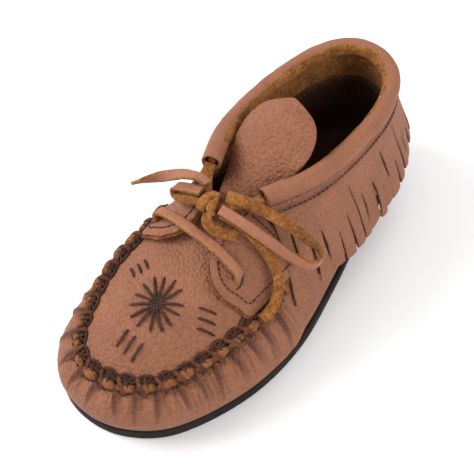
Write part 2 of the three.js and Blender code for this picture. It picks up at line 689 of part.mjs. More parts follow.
const ROUTES = {
  lead_left: {
    route: [[-14.8, -12.5, 88], [-13.4, -16.5, 87.2], [-10.6, -21, 84.8], [-6.9, -25, 82.6]],
    faces: [[0, 0.3, 1], [0.2, 0.3, 1], [0.3, 0.2, 1], [0.3, 0.2, 1]],
  },
  lead_right: {
    route: [[17.8, -13.5, 86], [16.4, -17, 86.2], [12, -21.5, 84.8], [5.8, -25.2, 83]],
    faces: [[0, 0.3, 1], [-0.2, 0.3, 1], [-0.3, 0.2, 1], [-0.2, 0.2, 1]],
  },
  bar: {
    route: [[-28.3, -39.4, 60], [-28.1, -39.4, 66], [-24.6, -39.8, 70.2], [-12, -40.6, 73.2],
      [0, -41.2, 72.8], [12, -41.8, 71.7], [22, -42.4, 67.4], [25.6, -42.6, 63.6], [25.8, -42.6, 58]],
    faces: [[-1, 0, 0], [-1, 0, 0.3], [-0.5, 0, 1], [-0.2, 0, 1], UP, [0.3, 0, 1], [0.6, 0, 1], [1, 0, 0.3],
      [1, 0, 0]],
  },
  under: {
    route: [[1, -34.6, 81.5], [3, -37, 79.8], [8, -37.4, 78.6], [13.4, -35.4, 77.4], [18, -32.4, 76.4]],
    faces: [[0, -1, 0.3], [0.1, -0.7, 0.7], [0.2, -0.3, 1], [0.3, 0, 1], [0.4, 0, 1]],
  },
  loop_right: {
    route: [[6, -30.6, 85.8], [14, -29.6, 84.2], [24, -27.4, 79.8], [34, -24.4, 73.2], [43.4, -20.8, 66.4],
      [49.6, -17.2, 62.8], [52.2, -13.2, 63.8], [50.2, -10, 67], [43.5, -12, 73.4], [34.2, -15.6, 81.2],
      [23.6, -19.8, 87], [14, -22.6, 89.9], [5.8, -24.6, 89.6]],
    faces: [[0, -0.2, 1], [0, -0.2, 1], [0.3, -0.1, 1], [0.5, 0, 0.9], [0.6, -0.2, 0.9], [0.5, -0.7, 0.6],
      [0.8, -0.4, -0.2], [0.1, 0.9, 0.1], [0, 0.7, 0.6], [0, 0.6, 0.8], [0, 0.5, 1], [0, 0.4, 1],
      [0, 0.3, 1]],
  },
  loop_left: {
    route: [[-7, -31, 83.4], [-10.6, -31.9, 82.2], [-14.9, -32, 80], [-19.2, -31.4, 77.4], [-23, -30.2, 75.9],
      [-24.9, -29, 77.8], [-23, -28.6, 80.2], [-19.2, -28.6, 82.4], [-14.2, -28.6, 84.6], [-9.9, -28.4, 86.2],
      [-7.2, -28, 87.2]],
    faces: [[0, -0.2, 1], [0, -0.2, 1], [-0.2, -0.2, 1], [-0.2, -0.2, 1], [0.4, -0.2, 1], [1, -0.1, 0],
      [0.5, -0.1, -1], [0.2, -0.1, -1], [0.2, -0.1, -1], [0, 0, -1], [0, 0, -1]],
  },
  tail_right_root: {
    route: [[5.8, -30, 81.8], [11, -29.2, 81.8], [17, -28, 79], [22.4, -27.4, 75.8]],
    faces: [[0, -0.1, 1], [0.2, -0.1, 1], [0.4, 0, 1], [0.5, 0, 1]],
  },
  tail_right: {
    route: [[23.7, -27.4, 75], [29, -27.4, 71.2], [35, -28, 65.6], [39.6, -29.6, 59.6], [42.4, -32.6, 54],
      [44, -37, 50], [44.6, -42, 47.8], [44, -47.5, 46.8]],
    faces: [[0.5, 0, 1], [0.6, 0, 1], [0.7, 0, 0.8], [0.8, -0.1, 0.6], [0.8, -0.2, 0.6],
      [0.7, -0.2, 0.8], [0.5, -0.2, 1],
      [0.4, -0.1, 1]],
  },
  tail_left: {
    route: [[-6.6, -24.2, 89.6], [-11, -23.8, 90.2], [-15.5, -24, 89], [-22, -24.6, 86.4], [-29, -26.4, 82.4],
      [-36, -29, 78.4], [-42, -32.4, 75.2], [-47, -36, 72.8]],
    faces: [[0, 0.3, 1], [0, 0.2, 1], [-0.1, 0, 1], [-0.3, 0, 1], [-0.4, 0, 1], [-0.4, 0, 1], [-0.4, -0.1, 1],
      [-0.3, -0.2, 1]],
  },
};

function lace(name, steps) {
  const { route, faces } = ROUTES[name];
  return strap(route, faces, steps);
}

function collarLace() {
  return tube(collarRoute, 4, 8, ROLL_STEPS);
}

function knot() {
  const [rx, ry, rz] = KNOT.radius;
  const ball = new THREE.SphereGeometry(1, 12, 8).rotateX(Math.PI / 2).scale(rx, ry, rz);
  return weld(ball.translate(...KNOT.centre));
}

// ---------- assembly ----------

const shoe = new THREE.Group();

function add(name, geometry, colour, roughness = 0.8) {
  const material = new THREE.MeshStandardMaterial({ color: COLOURS[colour], roughness, metalness: 0 });
  const mesh = new THREE.Mesh(geometry, material);
  mesh.name = name;
  shoe.add(mesh);
}

const HEEL_V = 0.5;
const HEEL_GAP = 0.002;
const QUARTER_LEVELS = [0.44, 0.56, 2 / 3, 0.78, 0.89, 1];
const LINING_LEVELS = [0.2, 1 / 3, 0.5, 2 / 3, 0.78, 0.84];
const BAND_LEVELS = [0.78, 0.89, 1];

add('outsole', outsole(), 'sole', 0.9);
add('lower_wrap', lowerWrap(), 'leather');
add('insole_board', layer(7.5, 10.2, 1.8, 46), 'board');
add('footbed', layer(8, 12.3, 4, 46, 1.2), 'suede', 0.95);
add('plug', plug(), 'leather');
add('tongue_root', tongueRoot(), 'leather');
add('tongue_flap', tongueFlap(), 'leather');
for (const side of ['right', 'left']) {
  add(`front_flap_${side}`, frontFlap(side), 'leather');
  add(`flap_lining_${side}`, flapLining(side), 'suede', 0.95);
  add(`flap_thread_${side}`, flapThread(side), 'stitch');
}
add('quarter_right', anklePanel(0, HEEL_V - HEEL_GAP, QUARTER_LEVELS, 0, LEATHER), 'leather');
add('quarter_left', anklePanel(HEEL_V + HEEL_GAP, 1, QUARTER_LEVELS, 0, LEATHER), 'leather');
add('quarter_lining', anklePanel(0.02, 0.98, LINING_LEVELS, 4.4, 1.2), 'lining', 0.6);
add('collar_lining', anklePanel(0.005, 0.995, BAND_LEVELS, 2.3, 1.4), 'suede', 0.95);
add('collar_roll', tube(collarRoute, ROLL_DIAMETER, 10, ROLL_STEPS, ROLL_BORE), 'leather');
add('fringed_cuff', fringedCuff(), 'leather');
add('cuff_thread', cuffThread(), 'stitch');
add('lining_thread', liningThread(), 'stitch');
add('vamp_whipstitch', whipstitch(), 'stitch');
add('embroidery_star', star(), 'stitch');
for (const group of Object.keys(TICKS)) {
  for (let k = 0; k < 3; k++) add(`tick_${group}_${k + 1}`, tick(group, k), 'stitch');
}
add('lace_collar_run', collarLace(), 'leather');
add('lace_lead_left', lace('lead_left', 8), 'leather');
add('lace_lead_right', lace('lead_right', 8), 'leather');
add('lace_bar', lace('bar', 24), 'leather');
add('lace_under', lace('under', 10), 'suede');
add('lace_knot', knot(), 'suede');
add('bow_loop_right', lace('loop_right', 32), 'leather');
add('bow_loop_left', lace('loop_left', 26), 'leather');
add('lace_tail_right_root', lace('tail_right_root', 8), 'suede');
add('lace_tail_right', lace('tail_right', 20), 'suede');
add('lace_tail_left', lace('tail_left', 20), 'leather');

export default shoe;
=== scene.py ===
"""A tan leather moccasin: puckered toe, rolled collar, fringed cuff and a flat lace tied in a bow.

Lengths are millimetres until a mesh is made, which turns them into metres. The toe points to -Y,
the outer (lateral) side is +X, and the origin is on the ground at the middle of the sole."""

import math

import bpy
import numpy as np
from mathutils import Matrix, Vector


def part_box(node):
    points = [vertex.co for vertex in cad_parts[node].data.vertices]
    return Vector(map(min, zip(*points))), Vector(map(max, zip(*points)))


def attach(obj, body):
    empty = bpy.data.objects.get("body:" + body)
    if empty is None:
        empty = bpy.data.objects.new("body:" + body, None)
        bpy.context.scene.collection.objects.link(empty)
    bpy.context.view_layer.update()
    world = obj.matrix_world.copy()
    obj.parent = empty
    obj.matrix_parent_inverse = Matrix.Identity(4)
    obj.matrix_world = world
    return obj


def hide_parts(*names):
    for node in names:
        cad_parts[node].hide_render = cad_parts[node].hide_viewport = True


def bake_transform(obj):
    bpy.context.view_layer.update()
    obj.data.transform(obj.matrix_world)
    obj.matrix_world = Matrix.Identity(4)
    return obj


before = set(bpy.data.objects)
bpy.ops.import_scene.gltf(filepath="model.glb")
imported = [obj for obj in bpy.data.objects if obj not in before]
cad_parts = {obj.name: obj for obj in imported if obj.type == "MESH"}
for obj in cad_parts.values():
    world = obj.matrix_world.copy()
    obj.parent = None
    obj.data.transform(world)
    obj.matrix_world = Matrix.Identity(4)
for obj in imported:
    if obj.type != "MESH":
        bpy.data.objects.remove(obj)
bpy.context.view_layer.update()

MM = 0.001
CLEARANCE = 0.3
LEATHER = 1.6
SOLE_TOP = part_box("outsole")[1][2] / MM
SOLE_MIDDLE = (4, 0)
ROLL_RADIUS = 5.0
LACE_WIDTH = 5.4
LACE_THICKNESS = 1.8
DRAWN_SPARE = 0.2                          # how much wider than the frame's the lace is drawn

# ---------- driving shape, the same as the frame's ----------

OUTLINE = [
    (-9, -126), (14, -121), (35, -103), (51, -66), (55, -27), (49, 14), (41, 52), (35, 88), (21, 117),
    (0, 126), (-20, 117), (-33, 88), (-33, 48), (-33, 8), (-40, -34), (-46, -70), (-43, -101), (-29, -120),
]
FEATHER = (2.8, SOLE_TOP + CLEARANCE)      # inset from the outline, height
BULGE = (1.0, 16)
LATERAL_Z = [(-126, 30), (-100, 32), (-60, 37), (-30, 42), (0, 46), (126, 46)]
LATERAL_INSET = [(-126, 13), (-100, 13), (-60, 15), (-30, 14), (10, 7), (60, 4), (126, 5)]
MEDIAL_Z = [(-126, 30), (-100, 34), (-60, 45), (-30, 54), (0, 50), (60, 46), (126, 46)]
MEDIAL_INSET = [(-126, 13), (-100, 14), (-60, 8), (-30, 6), (10, 5), (60, 4), (126, 5)]
RIDGE = [
    (-8, -113, 33), (-6, -100, 42), (-3, -72, 51), (-2, -50, 59), (-1, -30, 67), (-1, -15, 74), (0, 0, 84),
    (1, 16, 95), (2, 34, 108),
]
DOME_POWER = 2.2
TOE_CENTRE_Y = -96
COLLAR = [
    (18, -13, 86), (28, 14, 83.5), (31, 48, 81.5), (28.5, 82, 81.5), (18, 104, 83.5), (0, 112, 84.5),
    (-16, 105, 84), (-26.5, 82, 82.5), (-30, 48, 82), (-26, 14, 84.5), (-15, -12, 88),
]
COLLAR_FRONT_Y = -14
FLAP_RIDGE = [(-56, 61.5), (-44, 66.5), (-30, 75.5), (-17, 84.5)]

# ---------- small maths ----------


def centre_of(node):
    low, high = (np.array(corner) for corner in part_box(node))
    return (low + high) / 2 / MM


def table(rows, at):
    return np.interp(at, [r[0] for r in rows], [r[1] for r in rows])


def smooth(low, high, at):
    t = np.clip((np.asarray(at, float) - low) / (high - low), 0, 1)
    return t * t * (3 - 2 * t)


def mix(a, b, t):
    return a + (b - a) * t


def unit(v):
    return v / np.maximum(np.linalg.norm(v, axis=-1, keepdims=True), 1e-9)


def stack(*parts):
    return np.stack(np.broadcast_arrays(*parts), axis=-1).astype(float)


def spline(a, b, c, d, t):
    """Catmull-Rom: from b to c as t goes from 0 to 1."""
    return 0.5 * (2 * b + (c - a) * t + (2 * a - 5 * b + 4 * c - d) * t**2 + (3 * b - a - 3 * c + d) * t**3)


def running_length(line):
    """The distance from a line's start to each of its points."""
    return np.r_[0, np.cumsum(np.linalg.norm(np.diff(line, axis=0), axis=1))]


def sample(line, run, at):
    """Points of a line at the given distances from its start."""
    return np.stack([np.interp(at, run, line[:, k]) for k in range(line.shape[1])], axis=-1)


def at_y(line, y, k):
    """Coordinate k of a line that runs along the foot, where it passes y."""
    return np.interp(y, line[:, 1], line[:, k])


def catmull(points, count, closed=False):
    """Points spaced evenly along a smooth curve through the given points."""
    p = np.array(points, float)
    if closed:
        p = np.vstack([p[-1:], p, p[:2]])
    else:
        p = np.vstack([2 * p[0] - p[1], p, 2 * p[-1] - p[-2]])
    t = np.linspace(0, 1, 48, endpoint=False)[:, None]
    dense = []
    for a, b, c, d in zip(p, p[1:], p[2:], p[3:]):
        dense.append(spline(a, b, c, d, t))
    dense = np.vstack(dense + [p[-2:-1]])
    run = running_length(dense)
    even = sample(dense, run, np.linspace(0, run[-1], count + 1 if closed else count))
    return even[:-1] if closed else even


def noise(p, size, seed=0):
    """Smooth value noise from -1 to 1, with features about `size` mm across."""
    q = np.asarray(p, float) / size
    cell = np.floor(q)
    f = q - cell
    f = f * f * (3 - 2 * f)
    total = np.zeros(q.shape[:-1])
    for corner in range(8):
        bits = np.array([corner & 1, corner >> 1 & 1, corner >> 2 & 1])
        c = cell + bits
        wave = np.sin(c @ np.array([127.1, 311.7, 74.7]) + seed * 17.3) * 43758.5453
        weight = np.prod(np.where(bits, f, 1 - f), axis=-1)
        total += weight * ((wave - np.floor(wave)) * 2 - 1)
    return total


def on_floor(xy):
    """Plan points with a height of zero, as noise() wants them."""
    return np.c_[xy, xy[:, 0] * 0]


def level(z):
    """A height field that is flat."""
    return lambda x, y: z + 0 * x


def groove_at(distance, width):
    """1 at a groove's middle, falling off to both sides."""
    return np.exp(-(distance / width) ** 2)


def hashed(k, seed=0):
    """A repeatable number from 0 to 1 for an integer."""
    wave = np.sin(np.asarray(k, float) * 91.7 + seed * 37.1 + 3.3) * 9631.7
    return wave - np.floor(wave)


# ---------- the foot form ----------

DENSE = 6000
outline_xy = catmull(OUTLINE, DENSE, closed=True)
outline_tangent = unit(np.roll(outline_xy, -1, 0) - np.roll(outline_xy, 1, 0))
outline_u = np.arange(DENSE + 1) / DENSE


def wrapped(values, u):
    return np.interp(np.mod(u, 1), outline_u, np.r_[values, values[:1]])


def outline(u):
    tx, ty = wrapped(outline_tangent[:, 0], u), wrapped(outline_tangent[:, 1], u)
    return wrapped(outline_xy[:, 0], u), wrapped(outline_xy[:, 1], u), ty, -tx


def crossing(y, start, step):
    u = start
    while (outline(u)[1] - y) * (outline(u + step)[1] - y) > 0:
        u += step
    return u


LATERAL_FRONT = crossing(COLLAR_FRONT_Y, 0.05, 0.001)
MEDIAL_FRONT = crossing(COLLAR_FRONT_Y, 0.95, -0.001)


def seam(u):
    """Inset and height of the seam at a fraction round the outline."""
    x, y, _, _ = outline(u)
    side = smooth(-12, 12, x + 4)
    inset = mix(table(MEDIAL_INSET, y), table(LATERAL_INSET, y), side)
    return inset, mix(table(MEDIAL_Z, y), table(LATERAL_Z, y), side)


def inward(u, inset, z):
    x, y, nx, ny = outline(u)
    return stack(x - nx * inset, y - ny * inset, z)


def wrap_wall(u, t):
    """The lower wall from the sole (t 0) to the seam (t 1)."""
    inset, z = seam(u)
    low, high = np.clip(t / 0.3, 0, 1), np.clip((t - 0.3) / 0.7, 0, 1)
    below = mix(FEATHER[0], BULGE[0], np.sin(low * math.pi / 2))
    above = BULGE[0] + (inset - BULGE[0]) * high**1.9
    rise = np.sin(high * math.pi / 2 * 0.9) / math.sin(math.pi / 2 * 0.9)
    height = np.where(t < 0.3, mix(FEATHER[1], BULGE[1], low), mix(BULGE[1], z, rise))
    return inward(u, np.where(t < 0.3, below, above), height)


collar_line = catmull(COLLAR, 2400)
collar_tangent = unit(np.gradient(collar_line, axis=0))
collar_v = np.linspace(0, 1, len(collar_line))


def collar(v):
    """Centre and outward direction of the roll; v runs from the lateral end to the medial end."""
    v = np.clip(v, 0, 1)
    p = sample(collar_line, collar_v, v)
    tx, ty = (np.interp(v, collar_v, collar_tangent[:, k]) for k in (0, 1))
    flat = np.hypot(tx, ty)
    return p, ty / flat, -tx / flat


def through(keys, s):
    """A smooth curve through four keys, s from 0 to 1."""
    k = np.stack([2 * keys[0] - keys[1], *keys, 2 * keys[3] - keys[2]])
    at = np.clip(np.asarray(s, float), 0, 1) * 3
    first = np.minimum(np.floor(at), 2).astype(int)
    t = (at - first)[..., None]
    a, b, c, d = (np.take_along_axis(k, (first + j)[None, ..., None], axis=0)[0] for j in range(4))
    return spline(a, b, c, d, t)


def ankle_wall(v, s, depth=0):
    """The ankle wall from the sole (s 0) to the roll (s 1)."""
    v, s = np.broadcast_arrays(np.asarray(v, float), np.asarray(s, float))
    u = mix(LATERAL_FRONT, MEDIAL_FRONT, v)
    inset, z = seam(u)
    c, cx, cy = collar(v)
    top = stack(c[..., 0] + cx * 2.5, c[..., 1] + cy * 2.5, c[..., 2] - ROLL_RADIUS - 0.8)
    keys = [inward(u, FEATHER[0], FEATHER[1]), inward(u, BULGE[0], BULGE[1] + 4), inward(u, inset, z), top]
    p = through(keys, s)
    _, _, nx, ny = outline(u)
    n = unit(stack(mix(nx, cx, s), mix(ny, cy, s), 0))
    return p - n * np.asarray(depth, float)[..., None]


def wall_level(v, z):
    """The level at which the ankle wall passes a height."""
    low, high = np.zeros(np.broadcast(v, z).shape), np.ones(np.broadcast(v, z).shape)
    for _ in range(14):
        middle = (low + high) / 2
        below = ankle_wall(v, middle)[..., 2] < z
        low, high = np.where(below, middle, low), np.where(below, high, middle)
    return (low + high) / 2


seam_u = np.arange(1600) / 1600
seam_points = inward(seam_u, *seam(seam_u))
halves = (seam_points[16:784], seam_points[816:1584])
lateral_edge, medial_edge = (half[np.argsort(half[:, 1])] for half in halves)
ridge_line = np.array(RIDGE, float)
toe_x, toe_z = (at_y(ridge_line, TOE_CENTRE_Y, k) for k in (0, 2))
toe_rim = seam_points[seam_points[:, 1] < TOE_CENTRE_Y + 2]
toe_angle = np.arctan2(toe_rim[:, 1] - TOE_CENTRE_Y, toe_rim[:, 0] - toe_x)
toe_rim = toe_rim[np.argsort(toe_angle)]
toe_angle = np.sort(toe_angle)


def across(x, y):
    """How far a point lies from the ridge (0) to the seam (1), with the heights at both."""
    x, y = np.asarray(x, float), np.asarray(y, float)
    middle, ridge = (at_y(ridge_line, y, k) for k in (0, 2))
    edge_x, edge_z = (np.where(x < middle, at_y(medial_edge, y, k), at_y(lateral_edge, y, k)) for k in (0, 2))
    angle = np.arctan2(y - TOE_CENTRE_Y, x - toe_x)
    rim = [np.interp(angle, toe_angle, toe_rim[:, k]) for k in range(3)]
    reach = np.hypot(rim[0] - toe_x, rim[1] - TOE_CENTRE_Y)
    front = y < TOE_CENTRE_Y
    radial = np.hypot(x - toe_x, y - TOE_CENTRE_Y) / reach
    r = np.where(front, radial, np.abs((x - middle) / (edge_x - middle)))
    return r, np.where(front, toe_z, ridge), np.where(front, rim[2], edge_z)


def instep(x, y):
    r, ridge, edge = across(x, y)
    return ridge - (ridge - edge) * np.minimum(r, 1.1) ** DOME_POWER


def flap_top(x, y):
    r, _, edge = across(x, y)
    ridge = table(FLAP_RIDGE, y)
    return ridge - (ridge - edge - 1.5) * np.minimum(r, 1.1) ** DOME_POWER


# Stitches are counted along the seam, from the medial side round the toe to the lateral side.
STITCHES = 22
SEAM_END_Y = -27
seam_from = crossing(SEAM_END_Y, 0.9, -0.001) - 1
seam_to = crossing(SEAM_END_Y, 0.1, 0.001)
count_u = np.linspace(seam_from - 0.06, seam_to + 0.06, 1200)
count_line = inward(count_u, *seam(count_u))
count_run = running_length(count_line)
run_from, run_to = (np.interp(u, count_u, count_run) for u in (seam_from, seam_to))


def stitch_count(u):
    """The running number of a stitch at a fraction round the outline: whole numbers are stitches."""
    signed = np.where(np.mod(u, 1) > 0.6, np.mod(u, 1) - 1, np.mod(u, 1))
    run = np.interp(signed, count_u, count_run)
    return (run - run_from) / (run_to - run_from) * STITCHES


def stitch_place(count):
    run = run_from + np.asarray(count, float) / STITCHES * (run_to - run_from)
    return np.interp(run, count_run, count_u)


# ---------- meshes ----------


def make_object(name, points, faces, materials, slots=None, shade=None, body="shoe"):
    mesh = bpy.data.meshes.new(name)
    mesh.from_pydata((np.asarray(points) * MM).tolist(), [], [list(f) for f in faces])
    for material in materials:
        mesh.materials.append(material)
    if slots is not None:
        mesh.polygons.foreach_set("material_index", np.asarray(slots, dtype=np.int32))
    mesh.polygons.foreach_set("use_smooth", np.ones(len(mesh.polygons), dtype=bool))
    if shade is not None:
        layer = mesh.attributes.new("shade", "FLOAT", "POINT")
        layer.data.foreach_set("value", np.asarray(shade, dtype=np.float32).ravel())
    mesh.validate()
    mesh.update()
    piece = bpy.data.objects.new(name, mesh)
    bpy.context.collection.objects.link(piece)
    if body is not None:
        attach(piece, body)
    return piece


def grid_faces(rows, columns, wrap=False, keep=None):
    i, j = np.meshgrid(np.arange(rows - 1), np.arange(columns if wrap else columns - 1), indexing="ij")
    k = (j + 1) % columns
    near, far = i * columns, (i + 1) * columns
    quads = np.stack([near + j, near + k, far + k, far + j], axis=-1).reshape(-1, 4)
    return quads if keep is None else quads[keep.ravel()]


def tube_faces(rows, sides):
    """Faces of a closed tube: its rings of quads and a cap at both ends."""
    first = list(range(sides))
    last = [(rows - 1) * sides + j for j in first]
    return grid_faces(rows, sides, wrap=True)[:, ::-1].tolist() + [first, last[::-1]]


def sheet(name, grid, material, thickness, wrap=False, keep=None, shade=None, flip=False, body="shoe"):
    """A grid with a thickness behind its drawn face and its cut edges rounded off."""
    faces = grid_faces(*grid.shape[:2], wrap, keep)
    if flip:
        faces = faces[:, ::-1]
    piece = make_object(name, grid.reshape(-1, 3), faces, [material], shade=shade, body=body)
    solid = piece.modifiers.new("thickness", "SOLIDIFY")
    solid.thickness = thickness * MM
    solid.offset = -1
    round_off = piece.modifiers.new("round", "SUBSURF")
    round_off.levels = round_off.render_levels = 1
    return piece


def ring_normals(grid):
    """Unit normals of a grid that closes on itself along its rows."""
    along = np.roll(grid, -1, 1) - np.roll(grid, 1, 1)
    return unit(np.cross(along, np.gradient(grid, axis=0)))


RIM_ANGLES = (30, 60, 90, 120, 150)        # where a sheet's rounded edge has its rings, in degrees


def polar(name, loop, centre, rings, height, material, thickness, ripple=None, shading=None):
    """A thick sheet over a height field, drawn in rings from a centre point to its rounded edge."""
    loop = np.asarray(loop, float)[:, :2]
    ahead = np.roll(loop, -1, 0)
    if np.sum(loop[:, 0] * ahead[:, 1] - ahead[:, 0] * loop[:, 1]) < 0:
        loop = loop[::-1]
    n = len(loop)
    centre = np.array(centre, float)
    fractions = np.linspace(0, 1, rings + 1)[1:] ** 0.8
    xy = (centre + (loop[None] - centre) * fractions[:, None, None]).reshape(-1, 2)
    reach = np.repeat(fractions, n)
    turn = np.tile(np.arange(n) / n, rings)

    def lifted(xy, reach, turn):
        z = height(xy[:, 0], xy[:, 1])
        return z if ripple is None else z + ripple(xy, reach, turn)

    top = np.c_[xy, lifted(xy, reach, turn)].reshape(rings, n, 3)
    middle = np.r_[centre, lifted(centre[None], np.zeros(1), np.zeros(1))]
    outward = unit(loop - centre)
    rim = []
    for angle in RIM_ANGLES:
        a = math.radians(angle)
        edge = loop + outward * (math.sin(a) * thickness * 0.5)
        rim.append(np.c_[edge, top[-1, :, 2] - thickness * 0.5 * (1 - math.cos(a))])
    down = [0, 0, thickness]
    grid = np.concatenate([top, np.stack(rim), top[::-1] - down])
    points = np.vstack([grid.reshape(-1, 3), middle, middle - down])
    faces = grid_faces(len(grid), n, wrap=True)[:, ::-1].tolist()
    last = (len(grid) - 1) * n
    for j in range(n):
        k = (j + 1) % n
        faces.append([len(points) - 2, j, k])
        faces.append([len(points) - 1, last + k, last + j])
    shade = None
    if shading is not None:
        shade = np.zeros(len(points))
        drawn = shading(xy, reach, turn).reshape(rings, n)
        shade[:rings * n] = drawn.ravel()
        shade[rings * n:(rings + len(rim)) * n] = np.tile(drawn[-1], len(rim))
    return make_object(name, points, faces, [material], shade=shade)


def sections(line, sides, radius, squash=1.0):
    """Rings of a swept round section; radius is a number or one per point, squash scales its height."""
    line = np.asarray(line, float)
    tangent = unit(np.gradient(line, axis=0))
    side = unit(np.cross([0.0, 0.0, 1.0], tangent))
    up = unit(np.cross(tangent, side))
    angle = np.arange(sides) / sides * 2 * math.pi
    radius = np.broadcast_to(np.asarray(radius, float), len(line))[:, None, None]
    cos, sin = np.cos(angle)[None, :, None], np.sin(angle)[None, :, None]
    return line[:, None] + (side[:, None] * cos + up[:, None] * (sin * squash)) * radius


def threads(name, lines, radius, material, sides=8, squash=1.0, ends_taper=True):
    """Many short tubes in one piece."""
    points, faces, start = [], [], 0
    for line in lines:
        count = len(line)
        taper = np.ones(count)
        if ends_taper:
            taper = np.clip(np.sin(np.linspace(0.08, 0.92, count) * math.pi) * 1.9, 0.35, 1)
        rings = sections(line, sides, radius * taper, squash)
        points.append(rings.reshape(-1, 3))
        faces += [[k + start for k in face] for face in tube_faces(count, sides)]
        start += count * sides
    return make_object(name, np.vstack(points), faces, [material])


def strap(name, route, faces_to, steps, seed, width=LACE_WIDTH + DRAWN_SPARE, thickness=LACE_THICKNESS,
          body="shoe", wobble=0.12):
    """A flat lace with a smooth face, which looks along faces_to, and suede on its back and edges."""
    line = catmull(route, steps)
    lengths = running_length(np.array(route, float))
    towards = sample(unit(np.array(faces_to, float)), lengths, np.linspace(0, 1, steps) * lengths[-1])
    tangent = unit(np.gradient(line, axis=0))
    side = unit(np.cross(towards, tangent))
    up = unit(np.cross(tangent, side))
    w, t, b = width / 2, thickness / 2, thickness * 0.24
    face = [(-w + b, t), (-w * 0.5, t * 1.04), (0, t * 1.06), (w * 0.5, t * 1.04), (w - b, t)]
    back = [(w - b, -t), (w * 0.5, -t * 1.05), (0, -t * 1.1), (-w * 0.5, -t * 1.05), (-w + b, -t)]
    profile = np.array([*face, (w, t - b), (w, -t + b), *back, (-w, -t + b), (-w, t - b)])
    across_line = profile[None, :, :1] * (1 + 0.05 * noise(line + 50, 9, seed)[:, None, None])
    rings = line[:, None] + side[:, None] * across_line + up[:, None] * profile[None, :, 1:]
    rings = rings + up[:, None] * (noise(rings, 5, seed + 3)[..., None] * wobble)
    smooth_side = np.arange(len(profile)) < len(face) - 1
    slots = np.r_[np.tile(np.where(smooth_side, 0, 1), steps - 1), 1, 1]
    faces = tube_faces(steps, len(profile))
    piece = make_object(name, rings.reshape(-1, 3), faces, [tan_smooth, golden], slots=slots, body=body)
    return piece, line


# ---------- materials ----------

# Colours multiplied in as painted shade where a piece's shade attribute marks its creases and recesses.
LEATHER_CREASE_SHADE = (0.16, 0.06, 0.035)
SUEDE_CREASE_SHADE = (0.14, 0.06, 0.03)


class Look:
    """A procedural material being built: a main shader and the nodes that feed it."""

    def __init__(self, name, specular):
        self.material = bpy.data.materials.new(name)
        self.material.use_nodes = True
        self.tree = self.material.node_tree
        self.tree.nodes.clear()
        out = self.node("OutputMaterial")
        self.shader = self.node("BsdfPrincipled")
        self.feed(out.inputs["Surface"], self.shader.outputs["BSDF"])
        self.where = self.node("TexCoord").outputs["Object"]
        self.set("Specular IOR Level", specular)

    def node(self, kind):
        return self.tree.nodes.new("ShaderNode" + kind)

    def feed(self, socket, value):
        """Gives a socket a number, a colour or another node's output."""
        if isinstance(value, bpy.types.NodeSocket):
            self.tree.links.new(value, socket)
        else:
            socket.default_value = (*value, 1) if isinstance(value, tuple) else value

    def set(self, name, value):
        self.feed(self.shader.inputs[name], value)

    def noise(self, scale, **settings):
        return self.texture("TexNoise", scale, settings).outputs["Fac"]

    def texture(self, kind, scale, settings):
        node = self.node(kind)
        self.feed(node.inputs["Vector"], self.where)
        self.feed(node.inputs["Scale"], scale)
        for key, value in settings.items():
            self.feed(node.inputs[key.title()], value)
        return node

    def ramp(self, value, *stops):
        node = self.node("ValToRGB")
        self.feed(node.inputs["Fac"], value)
        elements = node.color_ramp.elements
        while len(elements) < len(stops):
            elements.new(0.5)
        for element, (position, colour) in zip(elements, stops):
            element.position = position
            element.color = (*colour, 1)
        return node.outputs["Color"]

    def maths(self, operation, a, b):
        node = self.node("Math")
        node.operation = operation
        self.feed(node.inputs[0], a)
        self.feed(node.inputs[1], b)
        return node.outputs[0]

    def multiply(self, colour, factor, strength):
        node = self.node("Mix")
        node.data_type = "RGBA"
        node.blend_type = "MULTIPLY"
        self.feed(node.inputs["Factor"], strength)
        self.feed(node.inputs["A"], colour)
        self.feed(node.inputs["B"], factor)
        return node.outputs["Result"]

    def paint_crease_shade(self, colour, crease):
        """Darkens the colour with painted shade where the piece's own shade attribute says so."""
        layer = self.node("Attribute")
        layer.attribute_name = "shade"
        return self.multiply(colour, crease, layer.outputs["Fac"])

    def rough_between(self, value, low, high):
        node = self.node("MapRange")
        self.feed(node.inputs["Value"], value)
        self.feed(node.inputs["To Min"], low)
        self.feed(node.inputs["To Max"], high)
        self.set("Roughness", node.outputs["Result"])

    def bump(self, *heights):
        """Chains bumps: each is (height, strength, distance in metres)."""
        last = None
        for height, strength, distance in heights:
            node = self.node("Bump")
            self.feed(node.inputs["Strength"], strength)
            self.feed(node.inputs["Distance"], distance)
            self.feed(node.inputs["Height"], height)
            if last is not None:
                self.feed(node.inputs["Normal"], last)
            last = node.outputs["Normal"]
        self.set("Normal", last)


def leather(name, dark, mid, light, grain=1.0, shaded=False):
    """Full-grain leather: pebbled and mottled, paler on its pebbles and darker between them, and with painted
    shade in its creases when shaded.
    """
    look = Look(name, specular=0.35)
    mottle = look.noise(55, detail=4, roughness=0.6)
    fine = look.noise(420, detail=3, roughness=0.6)
    wrinkle = look.noise(150, detail=5, roughness=0.62, distortion=1.2)
    cells = look.texture("TexVoronoi", 620, {})
    cells.feature = "SMOOTH_F1"
    look.feed(cells.inputs["Smoothness"], 0.4)
    pebble = cells.outputs["Distance"]
    colour = look.ramp(mottle, (0.3, dark), (0.5, mid), (0.72, light))
    speckle = look.ramp(fine, (0.3, (0.86, 0.84, 0.83)), (0.62, (1.04, 1.03, 1.02)))
    colour = look.multiply(colour, speckle, 0.8)
    valley = look.ramp(pebble, (0.3, (1.04, 1.03, 1.02)), (0.75, (0.74, 0.69, 0.66)))
    colour = look.multiply(colour, valley, 0.55 * grain)
    # painted shade in the creases that the piece's shade attribute marks
    if shaded:
        colour = look.paint_crease_shade(colour, LEATHER_CREASE_SHADE)
    look.set("Base Color", colour)
    look.rough_between(fine, 0.52, 0.76)
    look.bump((pebble, 0.85 * grain, 0.0009), (wrinkle, 0.55 * grain, 0.0013), (fine, 0.25, 0.0002))
    return look.material


